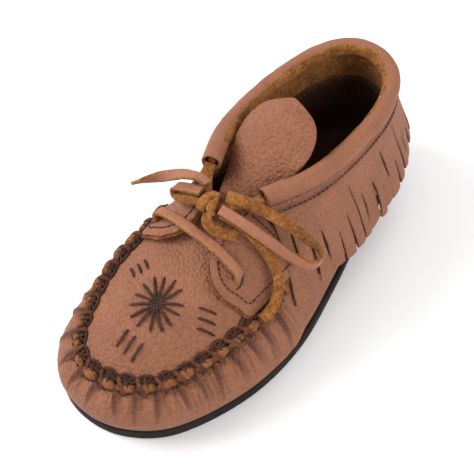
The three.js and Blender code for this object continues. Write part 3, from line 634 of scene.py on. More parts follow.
def suede(name, dark, mid, light, shaded=False):
    """The napped flesh side: fuzzy, mottled and without shine."""
    look = Look(name, specular=0.12)
    patches = look.noise(130, detail=5, roughness=0.7)
    nap = look.noise(1500, detail=4, roughness=0.75)
    clumps = look.noise(520, detail=4, roughness=0.7, distortion=0.6)
    blend = look.maths("ADD", look.maths("MULTIPLY", patches, 0.45), look.maths("MULTIPLY", clumps, 0.55))
    colour = look.ramp(blend, (0.34, dark), (0.5, mid), (0.66, light))
    flecks = look.ramp(nap, (0.35, (0.66, 0.6, 0.55)), (0.62, (1.15, 1.12, 1.08)))
    colour = look.multiply(colour, flecks, 0.8)
    # painted shade in the creases that the piece's shade attribute marks
    if shaded:
        colour = look.paint_crease_shade(colour, SUEDE_CREASE_SHADE)
    look.set("Base Color", colour)
    look.set("Roughness", 0.95)
    look.set("Sheen Weight", 0.08)
    look.set("Sheen Roughness", 0.6)
    look.set("Sheen Tint", (0.95, 0.75, 0.5))
    look.bump((clumps, 0.6, 0.0008), (nap, 0.7, 0.0005))
    return look.material


def thread(name, dark, light):
    """Twisted waxed thread: fine slanting plies."""
    look = Look(name, specular=0.3)
    ply = look.texture("TexWave", 700, {"distortion": 2.0, "detail": 2}).outputs["Color"]
    colour = look.ramp(look.noise(260, detail=3), (0.35, dark), (0.65, light))
    plies = look.ramp(ply, (0.2, (0.6, 0.55, 0.5)), (0.7, (1.1, 1.08, 1.05)))
    look.set("Base Color", look.multiply(colour, plies, 0.7))
    look.set("Roughness", 0.6)
    look.bump((ply, 0.6, 0.0003))
    return look.material


def rubber(name, dark, mid, light):
    """Sole rubber: brown-black, matt, with a fine moulded texture and scuffed dust."""
    look = Look(name, specular=0.12)
    cast = look.noise(60, detail=4, roughness=0.6)
    grit = look.noise(1300, detail=3, roughness=0.6)
    look.set("Base Color", look.ramp(cast, (0.3, dark), (0.55, mid), (0.75, light)))
    look.rough_between(cast, 0.62, 0.85)
    look.bump((grit, 0.35, 0.0003), (cast, 0.2, 0.0008))
    return look.material


TAN = ((0.232, 0.086, 0.041), (0.258, 0.097, 0.047), (0.286, 0.110, 0.055))
DARK_BROWN = ((0.034, 0.012, 0.006), (0.048, 0.018, 0.009), (0.066, 0.026, 0.013))
RUSSET = ((0.110, 0.036, 0.012), (0.225, 0.084, 0.030), (0.36, 0.150, 0.062))
POLISHED_TAN = ((0.265, 0.100, 0.052), (0.305, 0.120, 0.064), (0.345, 0.142, 0.078))
tan = leather("tan_leather", *TAN)
# a copy of the tan leather with painted shade in its creases
tan_shaded = leather("tan_leather_crease_shaded", *TAN, shaded=True)
tan_soft = leather("tan_leather_soft", *TAN, grain=0.45)
tan_smooth = leather("tan_leather_smooth", *POLISHED_TAN, grain=0.35)
lining = leather("dark_lining", *DARK_BROWN, grain=0.7)
golden = suede("golden_suede", (0.105, 0.034, 0.008), (0.240, 0.090, 0.022), (0.42, 0.185, 0.055))
rim_suede = suede("raw_edge_suede", (0.070, 0.021, 0.006), (0.170, 0.062, 0.018), (0.32, 0.140, 0.046))
seam_suede = suede("seam_suede", *RUSSET, shaded=True)
dark_suede = suede("dark_suede", (0.020, 0.008, 0.004), (0.036, 0.015, 0.007), (0.06, 0.027, 0.012))
dark_thread = thread("dark_thread", (0.028, 0.008, 0.004), (0.075, 0.022, 0.009))
rust_thread = thread("rust_thread", (0.060, 0.016, 0.006), (0.15, 0.046, 0.015))
sole_rubber = rubber("sole_rubber", (0.010, 0.006, 0.006), (0.017, 0.011, 0.010), (0.028, 0.019, 0.018))

# ---------- camera ----------

AZIMUTH, ELEVATION, ROLL = (math.radians(degrees) for degrees in (38.0, 52.0, -0.5))
CAMERA_DISTANCE = 0.400
CAMERA_TARGET = Vector((0, 0, 0.040))
LENS, SENSOR = 56.02, 36
SHIFT = (-0.0283, -0.0304)


def add_camera():
    back = Vector((math.sin(AZIMUTH) * math.cos(ELEVATION), -math.cos(AZIMUTH) * math.cos(ELEVATION),
                   math.sin(ELEVATION)))
    level_right = Vector((math.cos(AZIMUTH), math.sin(AZIMUTH), 0))
    level_up = back.cross(level_right)
    right = level_right * math.cos(ROLL) + level_up * math.sin(ROLL)
    up = level_up * math.cos(ROLL) - level_right * math.sin(ROLL)
    data = bpy.data.cameras.new("camera")
    data.lens = LENS
    data.sensor_width = SENSOR
    data.shift_x, data.shift_y = SHIFT
    data.clip_start = 0.01
    camera = bpy.data.objects.new("camera", data)
    turned = Matrix((right, up, back)).transposed().to_4x4()
    camera.matrix_world = Matrix.Translation(CAMERA_TARGET + back * CAMERA_DISTANCE) @ turned
    bpy.context.collection.objects.link(camera)
    bpy.context.scene.camera = camera


add_camera()

# ---------- laces: free cords first ----------

# Each free lace: points along it, and the way that its smooth face looks at each of them.
FREE_LACES = {
    "loop_right": (
        [(6, -30.6, 85.8), (14, -29.6, 84.2), (24, -27.4, 79.8), (34, -24.4, 73.2), (43.4, -20.8, 66.4),
         (49.6, -17.2, 62.8), (52.2, -13.2, 63.8), (50.2, -10, 67), (43.5, -12, 73.4), (34.2, -15.6, 81.2),
         (23.6, -19.8, 87), (14, -22.6, 89.9), (5.8, -24.6, 89.6)],
        [(0, -0.5, 1), (0.1, -0.6, 1), (0.2, -0.7, 0.8), (0.3, -0.7, 0.7), (0.3, -0.9, 0.5), (0.6, -0.8, 0),
         (1, 0, 0), (0.4, 1, 0), (-0.1, 0.9, -0.5), (-0.2, 0.8, -0.6), (-0.2, 0.7, -0.7), (-0.2, 0.6, -0.8),
         (-0.1, 0.5, -1)],
    ),
    "loop_left": (
        [(-7, -31, 83.4), (-10.6, -31.9, 82.2), (-14.9, -32, 80), (-19.2, -31.4, 77.4), (-23, -30.2, 75.9),
         (-24.9, -29, 77.8), (-23, -28.6, 80.2), (-19.2, -28.6, 82.4), (-14.2, -28.6, 84.6),
         (-9.9, -28.4, 86.2), (-7.2, -28, 87.2)],
        [(0, 0.2, -1), (0, 0.2, -1), (0.2, 0.2, -1), (0.2, 0.2, -1), (-0.4, 0.2, -1), (-1, 0.1, 0),
         (-0.5, -0.1, 1), (-0.2, -0.1, 1), (-0.2, -0.1, 1), (0, 0, 1), (0, 0, 1)],
    ),
    "tail_right": (
        [(5.8, -30, 81.8), (11, -29.2, 81.8), (17, -28, 79), (23, -27.4, 75.5), (29, -27.4, 71.2),
         (35, -28, 65.6), (39.6, -29.6, 59.6), (42.4, -32.6, 54), (44, -37, 50), (44.6, -42, 47.8),
         (44, -47.5, 46.8)],
        [(0, 0.1, -1), (-0.2, 0.1, -1), (-0.4, 0, -1), (-0.5, 0, -1), (-0.6, 0, -1), (-0.7, 0, -0.8),
         (-0.8, 0.1, -0.6), (-0.8, 0.2, -0.6), (-0.7, 0.2, -0.8), (-0.5, 0.2, -1), (-0.4, 0.1, -1)],
    ),
    "tail_left": (
        [(-6.6, -24.2, 89.6), (-11, -23.8, 90.2), (-15.5, -24, 89), (-22, -24.6, 86.4), (-29, -26.4, 82.4),
         (-36, -29, 78.4), (-42, -32.4, 75.2), (-47, -36, 72.8)],
        [(0, 0.3, 1), (0, 0.2, 1), (-0.1, 0, 1), (-0.3, -0.3, 1), (-0.5, -0.9, 0.5), (-0.4, -1, -0.3),
         (-0.3, -0.9, -0.6), (-0.2, -0.8, -0.8)],
    ),
}
# The body each one rides on, what is at its far end, and the nodes it replaces.
FREE_ENDS = {
    "loop_right": ("right_loop", "object", ["bow_loop_right"]),
    "loop_left": ("left_loop", "object", ["bow_loop_left"]),
    "tail_right": ("right_tail", "bare", ["lace_tail_right", "lace_tail_right_root"]),
    "tail_left": ("left_tail", "bare", ["lace_tail_left"]),
}

for cord_name, (route, faces_to) in FREE_LACES.items():
    body, far_end, nodes_replaced = FREE_ENDS[cord_name]
    rides_on = None if cord_name == "tail_right" else body
    piece, line = strap("cord_" + cord_name, route, faces_to, steps=110, seed=len(cord_name), body=rides_on)
    if cord_name == "tail_right":
        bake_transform(piece)
    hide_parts(*nodes_replaced)

# ---------- sole ----------


def sole():
    """The frame's sole, smoothed, with its tread."""
    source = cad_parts["outsole"]
    piece = bpy.data.objects.new("sole", source.data.copy())
    bpy.context.collection.objects.link(piece)
    piece.matrix_world = source.matrix_world.copy()
    piece.data.materials.clear()
    piece.data.materials.append(sole_rubber)
    piece.data.polygons.foreach_set("use_smooth", np.ones(len(piece.data.polygons), dtype=bool))
    weld = piece.modifiers.new("weld", "WELD")
    weld.merge_threshold = 1e-5
    edges = piece.modifiers.new("edges", "BEVEL")
    edges.width = 0.0005
    edges.segments = 2
    edges.limit_method = "ANGLE"
    edges.angle_limit = math.radians(40)
    normals = piece.modifiers.new("normals", "WEIGHTED_NORMAL")
    normals.keep_sharp = False
    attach(piece, "shoe")
    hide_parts("outsole")


sole()


def footbed():
    """Suede-covered insole with a slight crown, over the fibre board."""
    u = np.arange(180) / 180

    def ripple(xy, reach, turn):
        return -1.6 * smooth(0.86, 1.0, reach) + 0.25 * noise(on_floor(xy), 22, 4)

    edge = inward(u, 8.0, 0)
    piece = polar("footbed_cover", edge, SOLE_MIDDLE, 24, level(16.2), dark_suede, 3.6, ripple)
    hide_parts("footbed")
    board = polar("fibre_board", inward(u, 7.5, 0), SOLE_MIDDLE, 6, level(12.0), rim_suede, 1.7)
    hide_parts("insole_board")


footbed()

# ---------- wrap with its puckers ----------


def pucker(count, t):
    """Height of the gathers and the painted shade in their creases; count is the stitch number, t the level
    up the wall.
    """
    k = np.round(count)
    shifted = count + 0.35 * (1 - t) * np.sin(count * 1.9 + 0.8)
    pillow_k = np.floor(shifted)
    f = np.mod(shifted, 1.0)
    reach = 0.30 + 0.30 * hashed(pillow_k, 2)
    inside = smooth(-0.2, 0.5, count) * (1 - smooth(STITCHES - 0.5, STITCHES + 0.2, count))
    pillow = smooth(0, 0.2, f) * (1 - 0.6 * f**1.5) * (1 - 0.6 * smooth(0.92, 1, f))
    height = (2.6 + 1.2 * hashed(pillow_k, 40)) * smooth(reach, 1.0, t) ** 1.1 * inside * pillow

    def fold_at(place, width):
        return groove_at(np.abs(np.mod(count + place + 0.5, 1.0) - 0.5), width)

    # The deep crease at every stitch, with painted shade down it.
    edge = np.minimum(f, 1 - f)
    long_crease = smooth(reach - 0.22, 0.85, t) * inside
    dark = groove_at(edge, 0.028) * long_crease
    height -= 1.0 * groove_at(edge, 0.03) * long_crease
    # A fold on each side of it, which leans away lower down, with painted shade in it.
    for side in (-1, 1):
        lean = side * (0.15 + 0.30 * (1 - t) * (0.6 + hashed(k, 5 + side)))
        fold = fold_at(lean, 0.022) * smooth(0.45, 0.8, t) * (1 - 0.6 * smooth(0.85, 1, t)) * inside
        depth = hashed(k, 9 + side)
        height -= 0.5 * fold * depth
        dark = np.maximum(dark, 0.6 * fold * depth)
    # Fine lines, only round the lateral part of the toe, with painted shade in them.
    for line in range(3):
        place = hashed(k, 20 + line) + 0.12 * (1 - t) * (hashed(k, 30 + line) - 0.5)
        fine = fold_at(-place, 0.016) * smooth(0.3, 0.6, t) * (1 - smooth(0.75, 0.98, t)) * inside
        fine = fine * smooth(11, 17, count)
        height -= 0.4 * fine
        dark = np.maximum(dark, 0.4 * fine)
    return height, dark


def lower_wrap():
    front = np.arange(-0.2, 0.5, 1 / 2200)
    front = front[(front > seam_from - 0.02) & (front < seam_to + 0.02)]
    u = np.concatenate([front, np.linspace(front[-1], front[0] + 1, 260)[1:-1]])
    levels = np.r_[np.linspace(0, 0.3, 8)[:-1], np.linspace(0.3, 1, 34)]
    uu, tt = np.meshgrid(u, levels)
    back = smooth(COLLAR_FRONT_Y - 20, COLLAR_FRONT_Y - 6, outline(uu)[1])[..., None]
    v = (uu - LATERAL_FRONT) / (MEDIAL_FRONT - LATERAL_FRONT)
    wall = wrap_wall(uu, tt) * (1 - back) + ankle_wall(v, tt * 0.7, 2.2) * back
    normal = ring_normals(wall)
    outward = np.sign(normal[12, 0] @ [*outline(0.0)[2:], 0])
    height, dark = pucker(stitch_count(uu), tt)
    soft = (0.5 * noise(wall, 14, 2) + 0.3 * noise(wall, 6, 5)) * smooth(0.05, 0.3, tt)
    wall = wall + normal * outward * ((height + soft) * (1 - back[..., 0]))[..., None]
    floor = inward(u, FEATHER[0] + 6, FEATHER[1])
    grid = np.concatenate([floor[None], wall])
    dark = np.concatenate([np.zeros((1, len(u))), dark])
    # Painted shade along the foot of the wall where it meets the sole, and on the strip turned under it; the
    # shade attribute takes it with the painted shade of the creases.
    sole_edge_shade = np.concatenate([[1.0], 1 - smooth(0.0, 0.05, levels)])[:, None]
    shade = np.maximum(dark * 0.95, sole_edge_shade * 0.75)
    piece = sheet("wrap", grid, tan_shaded, LEATHER, wrap=True, shade=shade, flip=outward < 0)
    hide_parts("lower_wrap")
    bottom = inward(np.arange(160) / 160, FEATHER[0] + 5, 0)
    base = polar("wrap_bottom", bottom, SOLE_MIDDLE, 6, level(FEATHER[1] + LEATHER), rim_suede, 1.2)


lower_wrap()

# ---------- plug ----------

PLUG_REAR_Y = -24


def plug():
    u = np.linspace(seam_from - 0.02, seam_to + 0.02, 360)
    inset, _ = seam(u)
    edge = inward(u, inset + 1.6, 0)
    edge = edge[edge[:, 1] < PLUG_REAR_Y]
    rear = np.linspace(edge[-1], edge[0], 50)[1:-1]
    loop = np.vstack([edge, rear])
    count = np.r_[stitch_count(u[:len(edge)]), np.full(len(rear), -5.0)]

    def at_turn(turn):
        return count[np.round(turn * len(loop)).astype(int) % len(loop)]

    def ripple(xy, reach, turn):
        c = at_turn(turn)
        pillow = (1 - np.abs(2 * np.mod(c, 1) - 1) ** 2.4) * (c > -1)
        p = on_floor(xy)
        uneven = 0.30 * noise(p, 14, 7) + 0.12 * noise(p * [1, 2.2, 1], 5, 8)
        return uneven + smooth(0.88, 1, reach) * (1.1 * pillow - 1.1)

    def shading(xy, reach, turn):
        f = np.mod(at_turn(turn), 1)
        crease = groove_at(np.minimum(f, 1 - f), 0.12) * smooth(0.9, 1, reach)
        return np.maximum(0.5 * crease, 0.35 * smooth(0.965, 1, reach))

    piece = polar("toe_plug", loop, (0, -70), 46, instep, tan_shaded, LEATHER, ripple, shading)
    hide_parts("plug")


plug()


def gathered_edge():
    """The two cut leather edges that stand up along the seam, pinched at each stitch, with painted shade in
    the pinches and on their undersides.
    """
    count = np.linspace(-0.2, STITCHES + 0.1, 620)
    u = stitch_place(count)
    inset, z = seam(u)
    f = np.mod(count, 1)
    pillow = 1 - np.abs(2 * f - 1) ** 2.2
    k = np.floor(count)
    radius = 1.15 + (0.85 + 0.6 * hashed(k, 4)) * pillow
    line = inward(u, inset - 0.9 + 0.9 * (hashed(k, 6) - 0.5), z + 1.0 + 0.8 * pillow)
    line += stack(0 * f, 0 * f, 0.15 * noise(line, 3, 6))
    sides = 12
    rings = sections(line, sides, radius, squash=1.1)
    ragged = 0.40 * noise(rings, 1.5, 3) + 0.35 * noise(rings, 3.2, 9)
    rings += ragged[..., None] * unit(rings - line[:, None])
    # painted shade: in the pinch at each stitch and on the underside of the edges
    pinch_shade = np.clip(1 - pillow, 0, 1)
    under = np.clip(-np.sin(np.arange(sides) / sides * 2 * math.pi), 0, 1)
    shade = 0.7 * np.maximum(pinch_shade[:, None], under[None])
    faces = tube_faces(len(rings), sides)
    piece = make_object("seam_edges", rings.reshape(-1, 3), faces, [seam_suede], shade=shade)


gathered_edge()


def seam_point(count, across_mm, up_mm):
    """A point near the seam: across_mm towards the plug, up_mm above the leather there."""
    u = stitch_place(count)
    inset, z = seam(u)
    p = inward(u, inset + across_mm, 0)
    on_wall = z - 0.25 * np.maximum(-np.asarray(across_mm), 0)
    p[..., 2] = np.where(np.asarray(across_mm) > 0, instep(p[..., 0], p[..., 1]), on_wall) + up_mm
    return p


# Threads at a stitch, point by point: part of a stitch along the seam, mm across it, mm above the leather.
WHIP = (
    [0.02, 0.0, 0.05, 0.5, 0.95, 1.0], [3.2, 2.7, 1.3, -1.0, -3.4, -4.0], [-0.6, 0.8, 2.5, 4.4, 2.6, 0.2],
)
CROSSED = [
    ([0.38, 0.45, 0.6, 0.72], [3.6, 1.6, -1.6, -3.6], [0.4, 3.0, 3.9, 0.8]),
    ([0.85, 0.6, 0.3, 0.1], [3.4, 1.6, -0.8, -3.2], [0.5, 2.3, 3.7, 1.6]),
]


def whipstitch():
    """Doubled threads whipped over the standing edges, and a chain of them along the plug."""
    loops, chain = [], []

    def sew(into, along, sideways, rise, steps):
        into.append(catmull(seam_point(along, np.array(sideways), np.array(rise)), steps))

    for k in range(STITCHES):
        lean = 0.34 + 0.1 * (hashed(k, 8) - 0.5)
        for strand in (0, 0.085):
            sew(loops, k + strand + np.array(WHIP[0]) * lean, WHIP[1], WHIP[2], 22)
        link = k + np.array([0.0, 0.2, 0.5, 0.8, 1.0])
        bow = 0.5 + 0.3 * hashed(k, 3)
        sew(chain, link, 2.6 + bow * np.array([0, 1.1, 1.6, 0.9, 0]), [0.3, 0.9, 1.0, 0.9, 0.3], 18)
        sew(chain, link + 0.08, 2.0 - bow * np.array([0, 0.9, 1.6, 1.1, 0]), [1.0, 2.0, 2.8, 2.0, 1.0], 18)
        for along, sideways, rise in CROSSED:
            sew(chain, k + np.array(along), sideways, rise, 18)
    piece = threads("whip_threads", loops, 0.72, rust_thread)
    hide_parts("vamp_whipstitch")
    chained = threads("chain_threads", chain, 0.6, dark_thread)


whipstitch()

# ---------- embroidery ----------


def on_leather(xy, rise):
    xy = np.asarray(xy, float)
    return np.c_[xy, instep(xy[:, 0], xy[:, 1]) + rise]


def heading(degrees):
    return np.array([math.cos(math.radians(degrees)), math.sin(math.radians(degrees))])


SPOKES = 14
STITCH_RADIUS = 0.72
# Groups of three stitches: the group's middle, the ways across it and along a stitch, spacing, length.
TICKS = {
    "toe": ((1, -95.4), -4, 95, 5.1, 9.6),
    "left": ((-20.6, -63.8), 59, 151, 3.8, 6.6),
    "right": ((23.2, -64.6), -58, 25, 4.2, 9.0),
}


def embroidery():
    centre = centre_of("embroidery_star")[:2]
    spokes = []
    for k in range(SPOKES):
        angle = (k + 0.3 + 0.18 * (hashed(k, 2) - 0.5)) / SPOKES * 2 * math.pi
        reach = 13.2 + 1.3 * (hashed(k, 5) - 0.5)
        r = np.linspace(1.0, reach, 14)
        bend = angle + 0.16 * (hashed(k, 7) - 0.3) * (r / reach) ** 2
        xy = centre + np.c_[np.cos(bend) * r, np.sin(bend) * r]
        rise = 0.25 + 0.45 * np.sin(np.linspace(0.1, 0.97, 14) * math.pi)
        spokes.append(on_leather(xy, rise))
    piece = threads("star_threads", spokes, STITCH_RADIUS, dark_thread, squash=0.8)
    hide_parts("embroidery_star")
    angle = np.linspace(0, 2 * math.pi, 33)
    round_middle = on_leather(centre + 1.1 * np.c_[np.cos(angle), np.sin(angle)], 0.35)
    eye = threads("star_eye", [round_middle], 0.7, dark_thread, ends_taper=False)
    for group, (middle, across_deg, along_deg, pitch, length) in TICKS.items():
        over, along = heading(across_deg), heading(along_deg)
        for k in (1, 2, 3):
            place = np.array(middle) + over * ((k - 2) * pitch)
            turn = 0.08 * (hashed(k, len(group)) - 0.5)
            t = np.linspace(-0.5, 0.5, 12)[:, None]
            xy = place + along * t * length + over * (turn * length * (t * t - 0.1))
            rise = 0.15 + 0.5 * np.cos(t[:, 0] * math.pi)
            stitch = threads(f"tick_thread_{group}_{k}", [on_leather(xy, rise)], STITCH_RADIUS, dark_thread,
                             squash=0.8)
            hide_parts(f"tick_{group}_{k}")


embroidery()

# ---------- tongue ----------

TONGUE_WIDTH = [
    (-44, 15), (-12, 10), (-4, 13.5), (6, 17.2), (14, 19.2), (20, 19.8),
]


def tongue():
    y = np.concatenate([np.linspace(-42, 18, 60), 18 + 16.5 * np.sin(np.linspace(0, math.pi / 2, 26))[1:]])
    blunt = np.clip(1 - (np.clip(y - 10, 0, 99) / 24.7) ** 3.4, 0.003, 1) ** 0.42
    half = table(TONGUE_WIDTH, y) * np.where(y < 12, 1, blunt)
    yy, ss = np.meshgrid(y, np.linspace(-1, 1, 41), indexing="ij")
    middle, ridge = (at_y(ridge_line, yy, k) for k in (0, 2))
    xx = middle + np.interp(yy, y, half) * (1 + np.where(ss < 0, 0.04, 0.10) * smooth(-10, 14, yy)) * ss
    zz = mix(instep(xx, yy), ridge - 2.5 * ss**2, smooth(-6, 12, yy)) - 2.2 - 2 * ss**2
    grid = stack(xx, yy, zz)
    grid[..., 2] += 0.35 * noise(grid, 17, 12) + 0.15 * noise(grid, 6, 13)
    piece = sheet("tongue", grid, tan, LEATHER + 0.2, body=None)
    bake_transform(piece)
    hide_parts("tongue_root", "tongue_flap")


tongue()

# ---------- front flaps ----------

FLAP_EDGE = {
    "right": [(13, -18), (9, -30), (10, -42), (16, -50), (24, -52.5), (32, -50)],
    "left": [(-12, -18), (-8, -29), (-9, -38), (-14, -44), (-21, -47.5), (-28, -48)],
}
FLAP_MIDDLE = {"right": (25, -34), "left": (-25, -34)}
FLAP_REAR_Y = -12
FLAP_LIFT = 2.2


def flap_loop(side, inset=0.0):
    sign = 1 if side == "right" else -1
    front = catmull(FLAP_EDGE[side], 120)
    rows = lateral_edge if side == "right" else medial_edge
    y = np.linspace(-46.5, FLAP_REAR_Y, 40)
    along = np.c_[at_y(rows, y, 0) - sign * 2.0, y]
    rear = np.linspace(along[-1], front[0], 40)[1:-1]
    corner = catmull([front[-1], (front[-1] + along[0]) / 2 + [sign * 0.6, -0.8], along[0]], 10)[1:-1]
    loop = np.vstack([front, corner, along, rear])
    middle = np.array(FLAP_MIDDLE[side])
    reach = np.linalg.norm(loop - middle, axis=1, keepdims=True)
    return middle + (loop - middle) * (reach - inset) / reach


def flap_ripple(seed):
    def ripple(xy, reach, turn):
        p = on_floor(xy)
        wave = 0.55 * noise(p, 11, seed) + 0.25 * noise(p * [1, 2.5, 1], 5, seed + 1)
        return wave - 0.48 * smooth(0.82, 1, reach) * (turn < 0.55)
    return ripple


def flap_surface(x, y):
    return flap_top(x, y) + FLAP_LIFT * (1 - 0.8 * smooth(-24, -14, y))


def flaps():
    for side, seed in (("right", 21), ("left", 31)):
        middle, ripple = FLAP_MIDDLE[side], flap_ripple(seed)
        top = polar("flap_" + side, flap_loop(side), middle, 30, flap_surface, tan, LEATHER, ripple)
        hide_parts("front_flap_" + side)
        under = polar("flap_suede_" + side, flap_loop(side, -0.9), middle, 30,
                      lambda x, y: flap_surface(x, y) - 1.75, rim_suede, 1.5, ripple)
        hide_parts("flap_lining_" + side)
        border = flap_loop(side, 3.2)
        route = np.vstack([border[:132], border[160:]])
        rise = flap_top(route[:, 0], route[:, 1]) + FLAP_LIFT + ripple(route, np.full(len(route), 0.8), 0.9)
        sewn = threads("flap_stitches_" + side, stitches(np.c_[route, rise + 0.35], 2.3, 0.5), 0.36,
                       dark_thread, sides=6)
        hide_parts("flap_thread_" + side)


def stitches(line, length, gap, dip=0.35):
    """Cuts a line into separate stitches that dive into the leather at both ends."""
    run = running_length(line)
    made = []
    for start in np.arange(0, run[-1] - length, length + gap):
        p = sample(line, run, np.linspace(start, start + length, 7))
        p[:, 2] -= dip * (1 - np.sin(np.linspace(0, 1, 7) * math.pi)) ** 1.5
        made.append(p)
    return made


flaps()

# ---------- ankle ----------


def ankle_sheet(name, node, v_range, s_range, depth, thickness, material, columns=420, bumps=0.25):
    """Part of the ankle wall: v_range round it, s_range up it, depth inside its outer face."""
    v, s = np.meshgrid(np.linspace(*v_range, columns), np.linspace(*s_range, 26))
    grid = ankle_wall(v, s, depth)
    n = unit(grid - ankle_wall(v, s, depth + 3))
    grid += n * (bumps * noise(grid, 15, len(name)) + 0.4 * bumps * noise(grid, 6, 3))[..., None]
    piece = sheet(name, grid, material, thickness)
    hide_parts(node)


ankle_sheet("quarter_r", "quarter_right", (0, 0.499), (0.42, 1), 0, LEATHER, tan, columns=260)
ankle_sheet("quarter_l", "quarter_left", (0.501, 1), (0.42, 1), 0, LEATHER, tan, columns=260)
ankle_sheet("inner_lining", "quarter_lining", (0.02, 0.98), (0.2, 0.85), 4.3, 1.2, lining)
ankle_sheet("suede_band", "collar_lining", (0.005, 0.995), (0.76, 1), 2.2, 1.5, golden, bumps=0.5)


def collar_roll():
    v = np.linspace(0, 1, 340)
    centre, nx, ny = collar(v)
    tangent = unit(np.gradient(centre, axis=0))
    side = unit(np.cross(tangent, [0, 0, 1]))
    up = unit(np.cross(side, tangent))
    sides, tucked = 40, 38                 # tucked: rows of the inner face at each end
    angle = np.linspace(0, 2 * math.pi, sides, endpoint=False)
    rings = []
    for radius, rough in ((3.6, 0.0), (ROLL_RADIUS, 0.22)):
        ring = side[:, None] * np.cos(angle)[None, :, None] + up[:, None] * np.sin(angle)[None, :, None]
        ring = centre[:, None] + ring * radius
        dents = rough * noise(ring, 9, 41) + 0.6 * rough * noise(ring * [1, 1, 0.4], 3.4, 42)
        rings.append(ring + unit(ring - centre[:, None]) * dents[..., None])
    inner, outer = rings
    lips = [inner[2], mix(inner[0], outer[0], 0.5) - tangent[0] * 0.4, outer[1]]
    tails = [outer[-2], mix(inner[-1], outer[-1], 0.5) + tangent[-1] * 0.4, inner[-3]]
    grid = np.concatenate([inner[2 + tucked:2:-1], np.stack(lips), outer[2:-2], np.stack(tails),
                           inner[-4:-4 - tucked:-1]])
    rows = len(grid)
    faces = grid_faces(rows, sides, wrap=True)
    margin = tucked + len(lips)
    share = np.clip((np.arange(rows) - margin) / (rows - 2 * margin), 0, 1)
    middle = collar(share)[0]
    inward_way = -np.stack([np.interp(share, v, nx), np.interp(share, v, ny)], axis=-1)
    facing = unit(grid - middle[:, None])
    turned_in = np.sum(facing[..., :2] * inward_way[:, None], axis=-1) + 0.12 * noise(grid, 4, 61)
    lined = (turned_in > 0.5) & (share[:, None] > 0.05) & (share[:, None] < 0.95)
    slots = lined[:-1].ravel().astype(int)
    piece = make_object("roll", grid.reshape(-1, 3), faces, [tan_soft, golden], slots=slots)
    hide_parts("collar_roll")
    run = threads("lace_in_roll", [centre[2:-2]], 2.0, golden, ends_taper=False, sides=12)
    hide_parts("lace_collar_run")


collar_roll()

# ---------- fringed cuff ----------

STRIPS = 36
CUFF_LEAN = 0.03
CUFF_BOTTOM_Z = [
    (0, 34), (0.06, 31), (0.12, 27), (0.2, 25), (0.32, 27), (0.42, 33), (0.5, 37), (0.58, 33), (0.68, 28),
    (1, 28),
]
CUFF_FLARE = [
    (0, -1), (0.08, 3), (0.16, 8), (0.24, 11), (0.32, 12), (0.42, 12), (0.5, 8.5), (0.6, 8), (0.8, 7),
    (0.92, 2), (1, 0),
]
CUFF_LENGTH = 330
CUT_WIDTH = 1.6 / CUFF_LENGTH
CUFF_GROOVE = 0.04                         # level of the stitched groove
ACROSS_STRIP = np.array([0, 0.04, 0.14, 0.28, 0.42, 0.58, 0.72, 0.86, 0.96, 1.0])


def cuff_point(along, t, depth=0.0):
    v = along + CUFF_LEAN * t * (smooth(0.86, 1, along) - 1 + smooth(0, 0.14, along))
    top = ankle_wall(v, np.ones_like(v))[..., 2]
    z = mix(top, table(CUFF_BOTTOM_Z, v), t)
    away = mix(2.4, np.maximum(2.4, table(CUFF_FLARE, v) + BULGE[0]), smooth(0, 1.1, t))
    p = ankle_wall(v, wall_level(v, z), depth - away)
    p[..., 2] = z
    return p


def cut_width(t, start, end):
    """How far a cut is open at a level, from 0 to 1."""
    running = smooth(0, 1, (t - start) / (1.001 - start)) * 0.85 + 0.15
    share = np.clip((t - start) / (end - start), 0, 1)
    return np.where(end > 1, running, 0.12 + 0.7 * np.sin(share * math.pi))


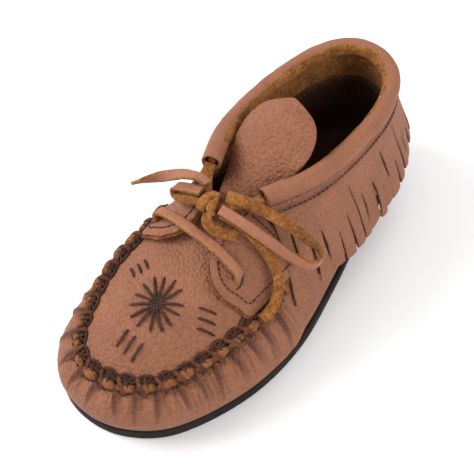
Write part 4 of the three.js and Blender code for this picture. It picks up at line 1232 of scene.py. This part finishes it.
def fringe():
    """The cuff and its strips, parted by cuts of different lengths, with painted shade in the open cuts and
    the stitched groove.
    """
    n = len(ACROSS_STRIP)
    cut = np.arange(1, STRIPS)
    edges = np.arange(STRIPS + 1) / STRIPS
    edges[1:-1] += (hashed(cut, 11) - 0.5) * 0.45 / STRIPS
    starts = np.r_[0, 0.16 + 0.56 * hashed(cut, 12) ** 1.1, 0]
    # Some of the cuts close again before the hem.
    closed = np.r_[False, hashed(cut, 13) < 0.3, False]
    ends = np.where(closed, np.minimum(starts + 0.42, 0.9), 2.0)

    rows = np.concatenate([np.linspace(0, 0.2, 7)[:-1], np.linspace(0.2, 1, 44)])
    strip = np.repeat(np.arange(STRIPS), n)
    tt, kk = np.meshgrid(rows, strip, indexing="ij")
    cc = np.broadcast_to(np.tile(ACROSS_STRIP, STRIPS), tt.shape)
    left = edges[kk] + CUT_WIDTH * cut_width(tt, starts[kk], ends[kk]) * np.where(kk > 0, 0.5, 0)
    right = edges[kk + 1] - CUT_WIDTH * cut_width(tt, starts[kk + 1], ends[kk + 1]) * np.where(
        kk < STRIPS - 1, 0.5, 0)
    along = mix(left, right, cc)
    hem = 1 + 0.035 * (hashed(kk, 15) - 0.5) + 0.03 * (hashed(kk, 16) - 0.5) * (cc - 0.5)
    t = np.where(tt > 0.5, 0.5 + (tt - 0.5) * (1 + (hem - 1) * 2), tt)
    grid = cuff_point(along, t)
    outward = unit(grid - cuff_point(along, t, 3.0))

    free = smooth(0.25, 1, tt)
    sway = (hashed(kk, 17) - 0.35) * 2.2 * free + (cc - 0.5) * (hashed(kk, 18) - 0.5) * 2.0 * free
    curl = -0.5 * free * (2 * cc - 1) ** 2
    groove = groove_at(tt - CUFF_GROOVE, 0.02)
    away = sway * 0.8 + curl + 0.3 * noise(grid, 12, 51) + 0.15 * noise(grid, 5, 52) - 0.7 * groove
    grid = grid + outward * away[..., None]
    grid[0, :, :2] = mix(grid[0, :, :2], ankle_wall(along[0], 1.0)[:, :2], 0.35)
    grid[0, :, 2] += 2.6

    keep = np.ones((len(rows) - 1, len(strip) - 1), dtype=bool)
    for k in cut:
        keep[:, k * n - 1] = (rows[1:] <= starts[k]) | (rows[:-1] >= ends[k])
    # painted shade along the strip edges where a cut is open, and in the stitched groove
    near_edge = np.maximum(groove_at(cc, 0.05), groove_at(1 - cc, 0.05))
    nearest = np.where(cc < 0.5, kk, kk + 1)
    open_here = (tt > starts[nearest]) & (tt < ends[nearest])
    dark = 0.55 * np.maximum(near_edge * open_here, groove)
    piece = sheet("cuff", grid, tan_shaded, 1.5, keep=keep, shade=dark, flip=True)
    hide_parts("fringed_cuff")


fringe()


def cuff_stitches():
    v = np.linspace(0.006, 0.994, 900)
    line = cuff_point(v, np.full_like(v, CUFF_GROOVE), 0.25)
    piece = threads("cuff_stitches", stitches(line, 2.3, 0.7, 0.25), 0.45, dark_thread, sides=6)
    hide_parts("cuff_thread")
    v = np.linspace(0.03, 0.97, 700)
    line = ankle_wall(v, np.full_like(v, 0.825), 5.9)
    sewn = threads("lining_stitches", stitches(line, 2.4, 0.8, 0.2), 0.45, rust_thread, sides=6)
    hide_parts("lining_thread")


cuff_stitches()


def paint_lace_hole_shade():
    """Dark strokes lying on the flaps as painted shade in the slits that the lace bar goes down through."""
    hole_shade_strokes = []
    for x, y, turn in ((26.6, -43.2, -0.5), (-29.2, -38.6, 0.5)):
        t = np.linspace(-1, 1, 14)
        xy = np.c_[x + 1.1 * (1 - t * t) * np.sign(x) + turn * t, y + t * 3.4]
        hole_shade_strokes.append(np.c_[xy, flap_surface(xy[:, 0], xy[:, 1]) + 0.1])
    # painted shade: a dark stroke on the flap over each slit
    piece = threads("lace_hole_shade", hole_shade_strokes, 0.75, lining, squash=0.5)


paint_lace_hole_shade()

# ---------- held laces and knot ----------

# Each held lace: its node, its slot, points along it, and the way its smooth face looks at each of them.
HELD = {
    "lead_left": (
        "lace_lead_left", "suede",
        [(-14.8, -12.5, 88), (-13.4, -16.5, 87.2), (-10.6, -21, 84.8), (-6.9, -25, 82.6), (-3, -27.5, 82)],
        [(0, -0.3, -1), (-0.2, -0.3, -1), (-0.3, -0.2, -1), (-0.3, -0.2, -1), (-0.3, -0.2, -1)],
    ),
    "lead_right": (
        "lace_lead_right", "suede",
        [(17.8, -13.5, 86), (16.4, -17, 86.2), (12, -21.5, 84.8), (5.8, -25.2, 83), (1.5, -27.5, 82)],
        [(0, -0.3, -1), (0.2, -0.3, -1), (0.3, -0.2, -1), (0.2, -0.2, -1), (0.2, -0.2, -1)],
    ),
    "bar": (
        "lace_bar", "leather",
        [(-28.3, -39.4, 60), (-28.1, -39.4, 66), (-24.6, -39.8, 70.2), (-12, -40.6, 73.2), (0, -41.2, 72.8),
         (12, -41.8, 71.7), (22, -42.4, 67.4), (25.6, -42.6, 63.6), (25.8, -42.6, 58)],
        [(-1, 0, 0), (-1, 0, 0.3), (-0.5, 0, 1), (-0.2, 0, 1), (0, 0, 1), (0.3, 0, 1), (0.6, 0, 1),
         (1, 0, 0.3), (1, 0, 0)],
    ),
    "under": (
        "lace_under", "suede",
        [(0, -31, 82), (1, -34.6, 81.5), (3, -37, 79.8), (8, -37.4, 78.6), (13.4, -35.4, 77.4),
         (18, -32.4, 76.4)],
        [(0, 1, 0), (0, 1, -0.3), (-0.1, 0.7, -0.7), (-0.2, 0.3, -1), (-0.3, 0, -1), (-0.4, 0, -1)],
    ),
}
for held_name, (node, slot, route, faces_to) in HELD.items():
    piece, _ = strap("held_" + held_name, route, faces_to, steps=70, seed=len(held_name) + 7)
    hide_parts(node)


def knot():
    """Two turns of the lace, suede side out, round the crossing straps."""
    x, y, z = centre_of("lace_knot")
    angles = np.linspace(0.0, 2 * math.pi, 25)
    for k, (offset, tilt, radius_y, radius_z) in enumerate(((-0.6, 0.35, 5.2, 4.6), (1.6, -0.3, 4.4, 3.9))):
        route = [(x + offset + tilt * 5 * math.cos(a), y + radius_y * math.cos(a),
                  z + 1.2 + radius_z * math.sin(a)) for a in angles]
        faces_to = [(0, -math.cos(a), -math.sin(a)) for a in angles]
        piece, _ = strap(f"knot_turn_{k + 1}", route, faces_to, steps=60, seed=70 + k, width=4.6,
                         thickness=1.7, wobble=0.2)
        if k == 0:
            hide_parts("lace_knot")


knot()

# ---------- studio ----------


def studio():
    mesh = bpy.data.meshes.new("floor")
    half = 3.0
    corners = [(-half, -half, 0), (half, -half, 0), (half, half, 0), (-half, half, 0)]
    mesh.from_pydata(corners, [], [(0, 1, 2, 3)])
    floor = bpy.data.objects.new("floor", mesh)
    bpy.context.collection.objects.link(floor)
    material = bpy.data.materials.new("floor_white")
    material.use_nodes = True
    shader = material.node_tree.nodes["Principled BSDF"]
    shader.inputs["Base Color"].default_value = (0.86, 0.86, 0.86, 1)
    shader.inputs["Roughness"].default_value = 0.9
    mesh.materials.append(material)

    world = bpy.data.worlds.new("studio")
    bpy.context.scene.world = world
    world.use_nodes = True
    background = world.node_tree.nodes["Background"]
    background.inputs["Color"].default_value = (1.0, 1.0, 1.0, 1)
    background.inputs["Strength"].default_value = 0.78

    lights = [
        ("key", (-0.75, -0.40, 0.70), 0.6, 11.0),
        ("fill", (1.0, -0.05, 0.60), 0.8, 7.0),
        ("rear", (-0.2, 0.9, 0.9), 0.7, 3.0),
    ]
    for name, place, size, power in lights:
        data = bpy.data.lights.new(name, "AREA")
        data.energy = power
        data.size = size
        lamp = bpy.data.objects.new(name, data)
        lamp.location = place
        aim = CAMERA_TARGET - Vector(place)
        lamp.rotation_euler = aim.to_track_quat("-Z", "Y").to_euler()
        bpy.context.collection.objects.link(lamp)
    bpy.context.scene.view_settings.view_transform = "Standard"


studio()
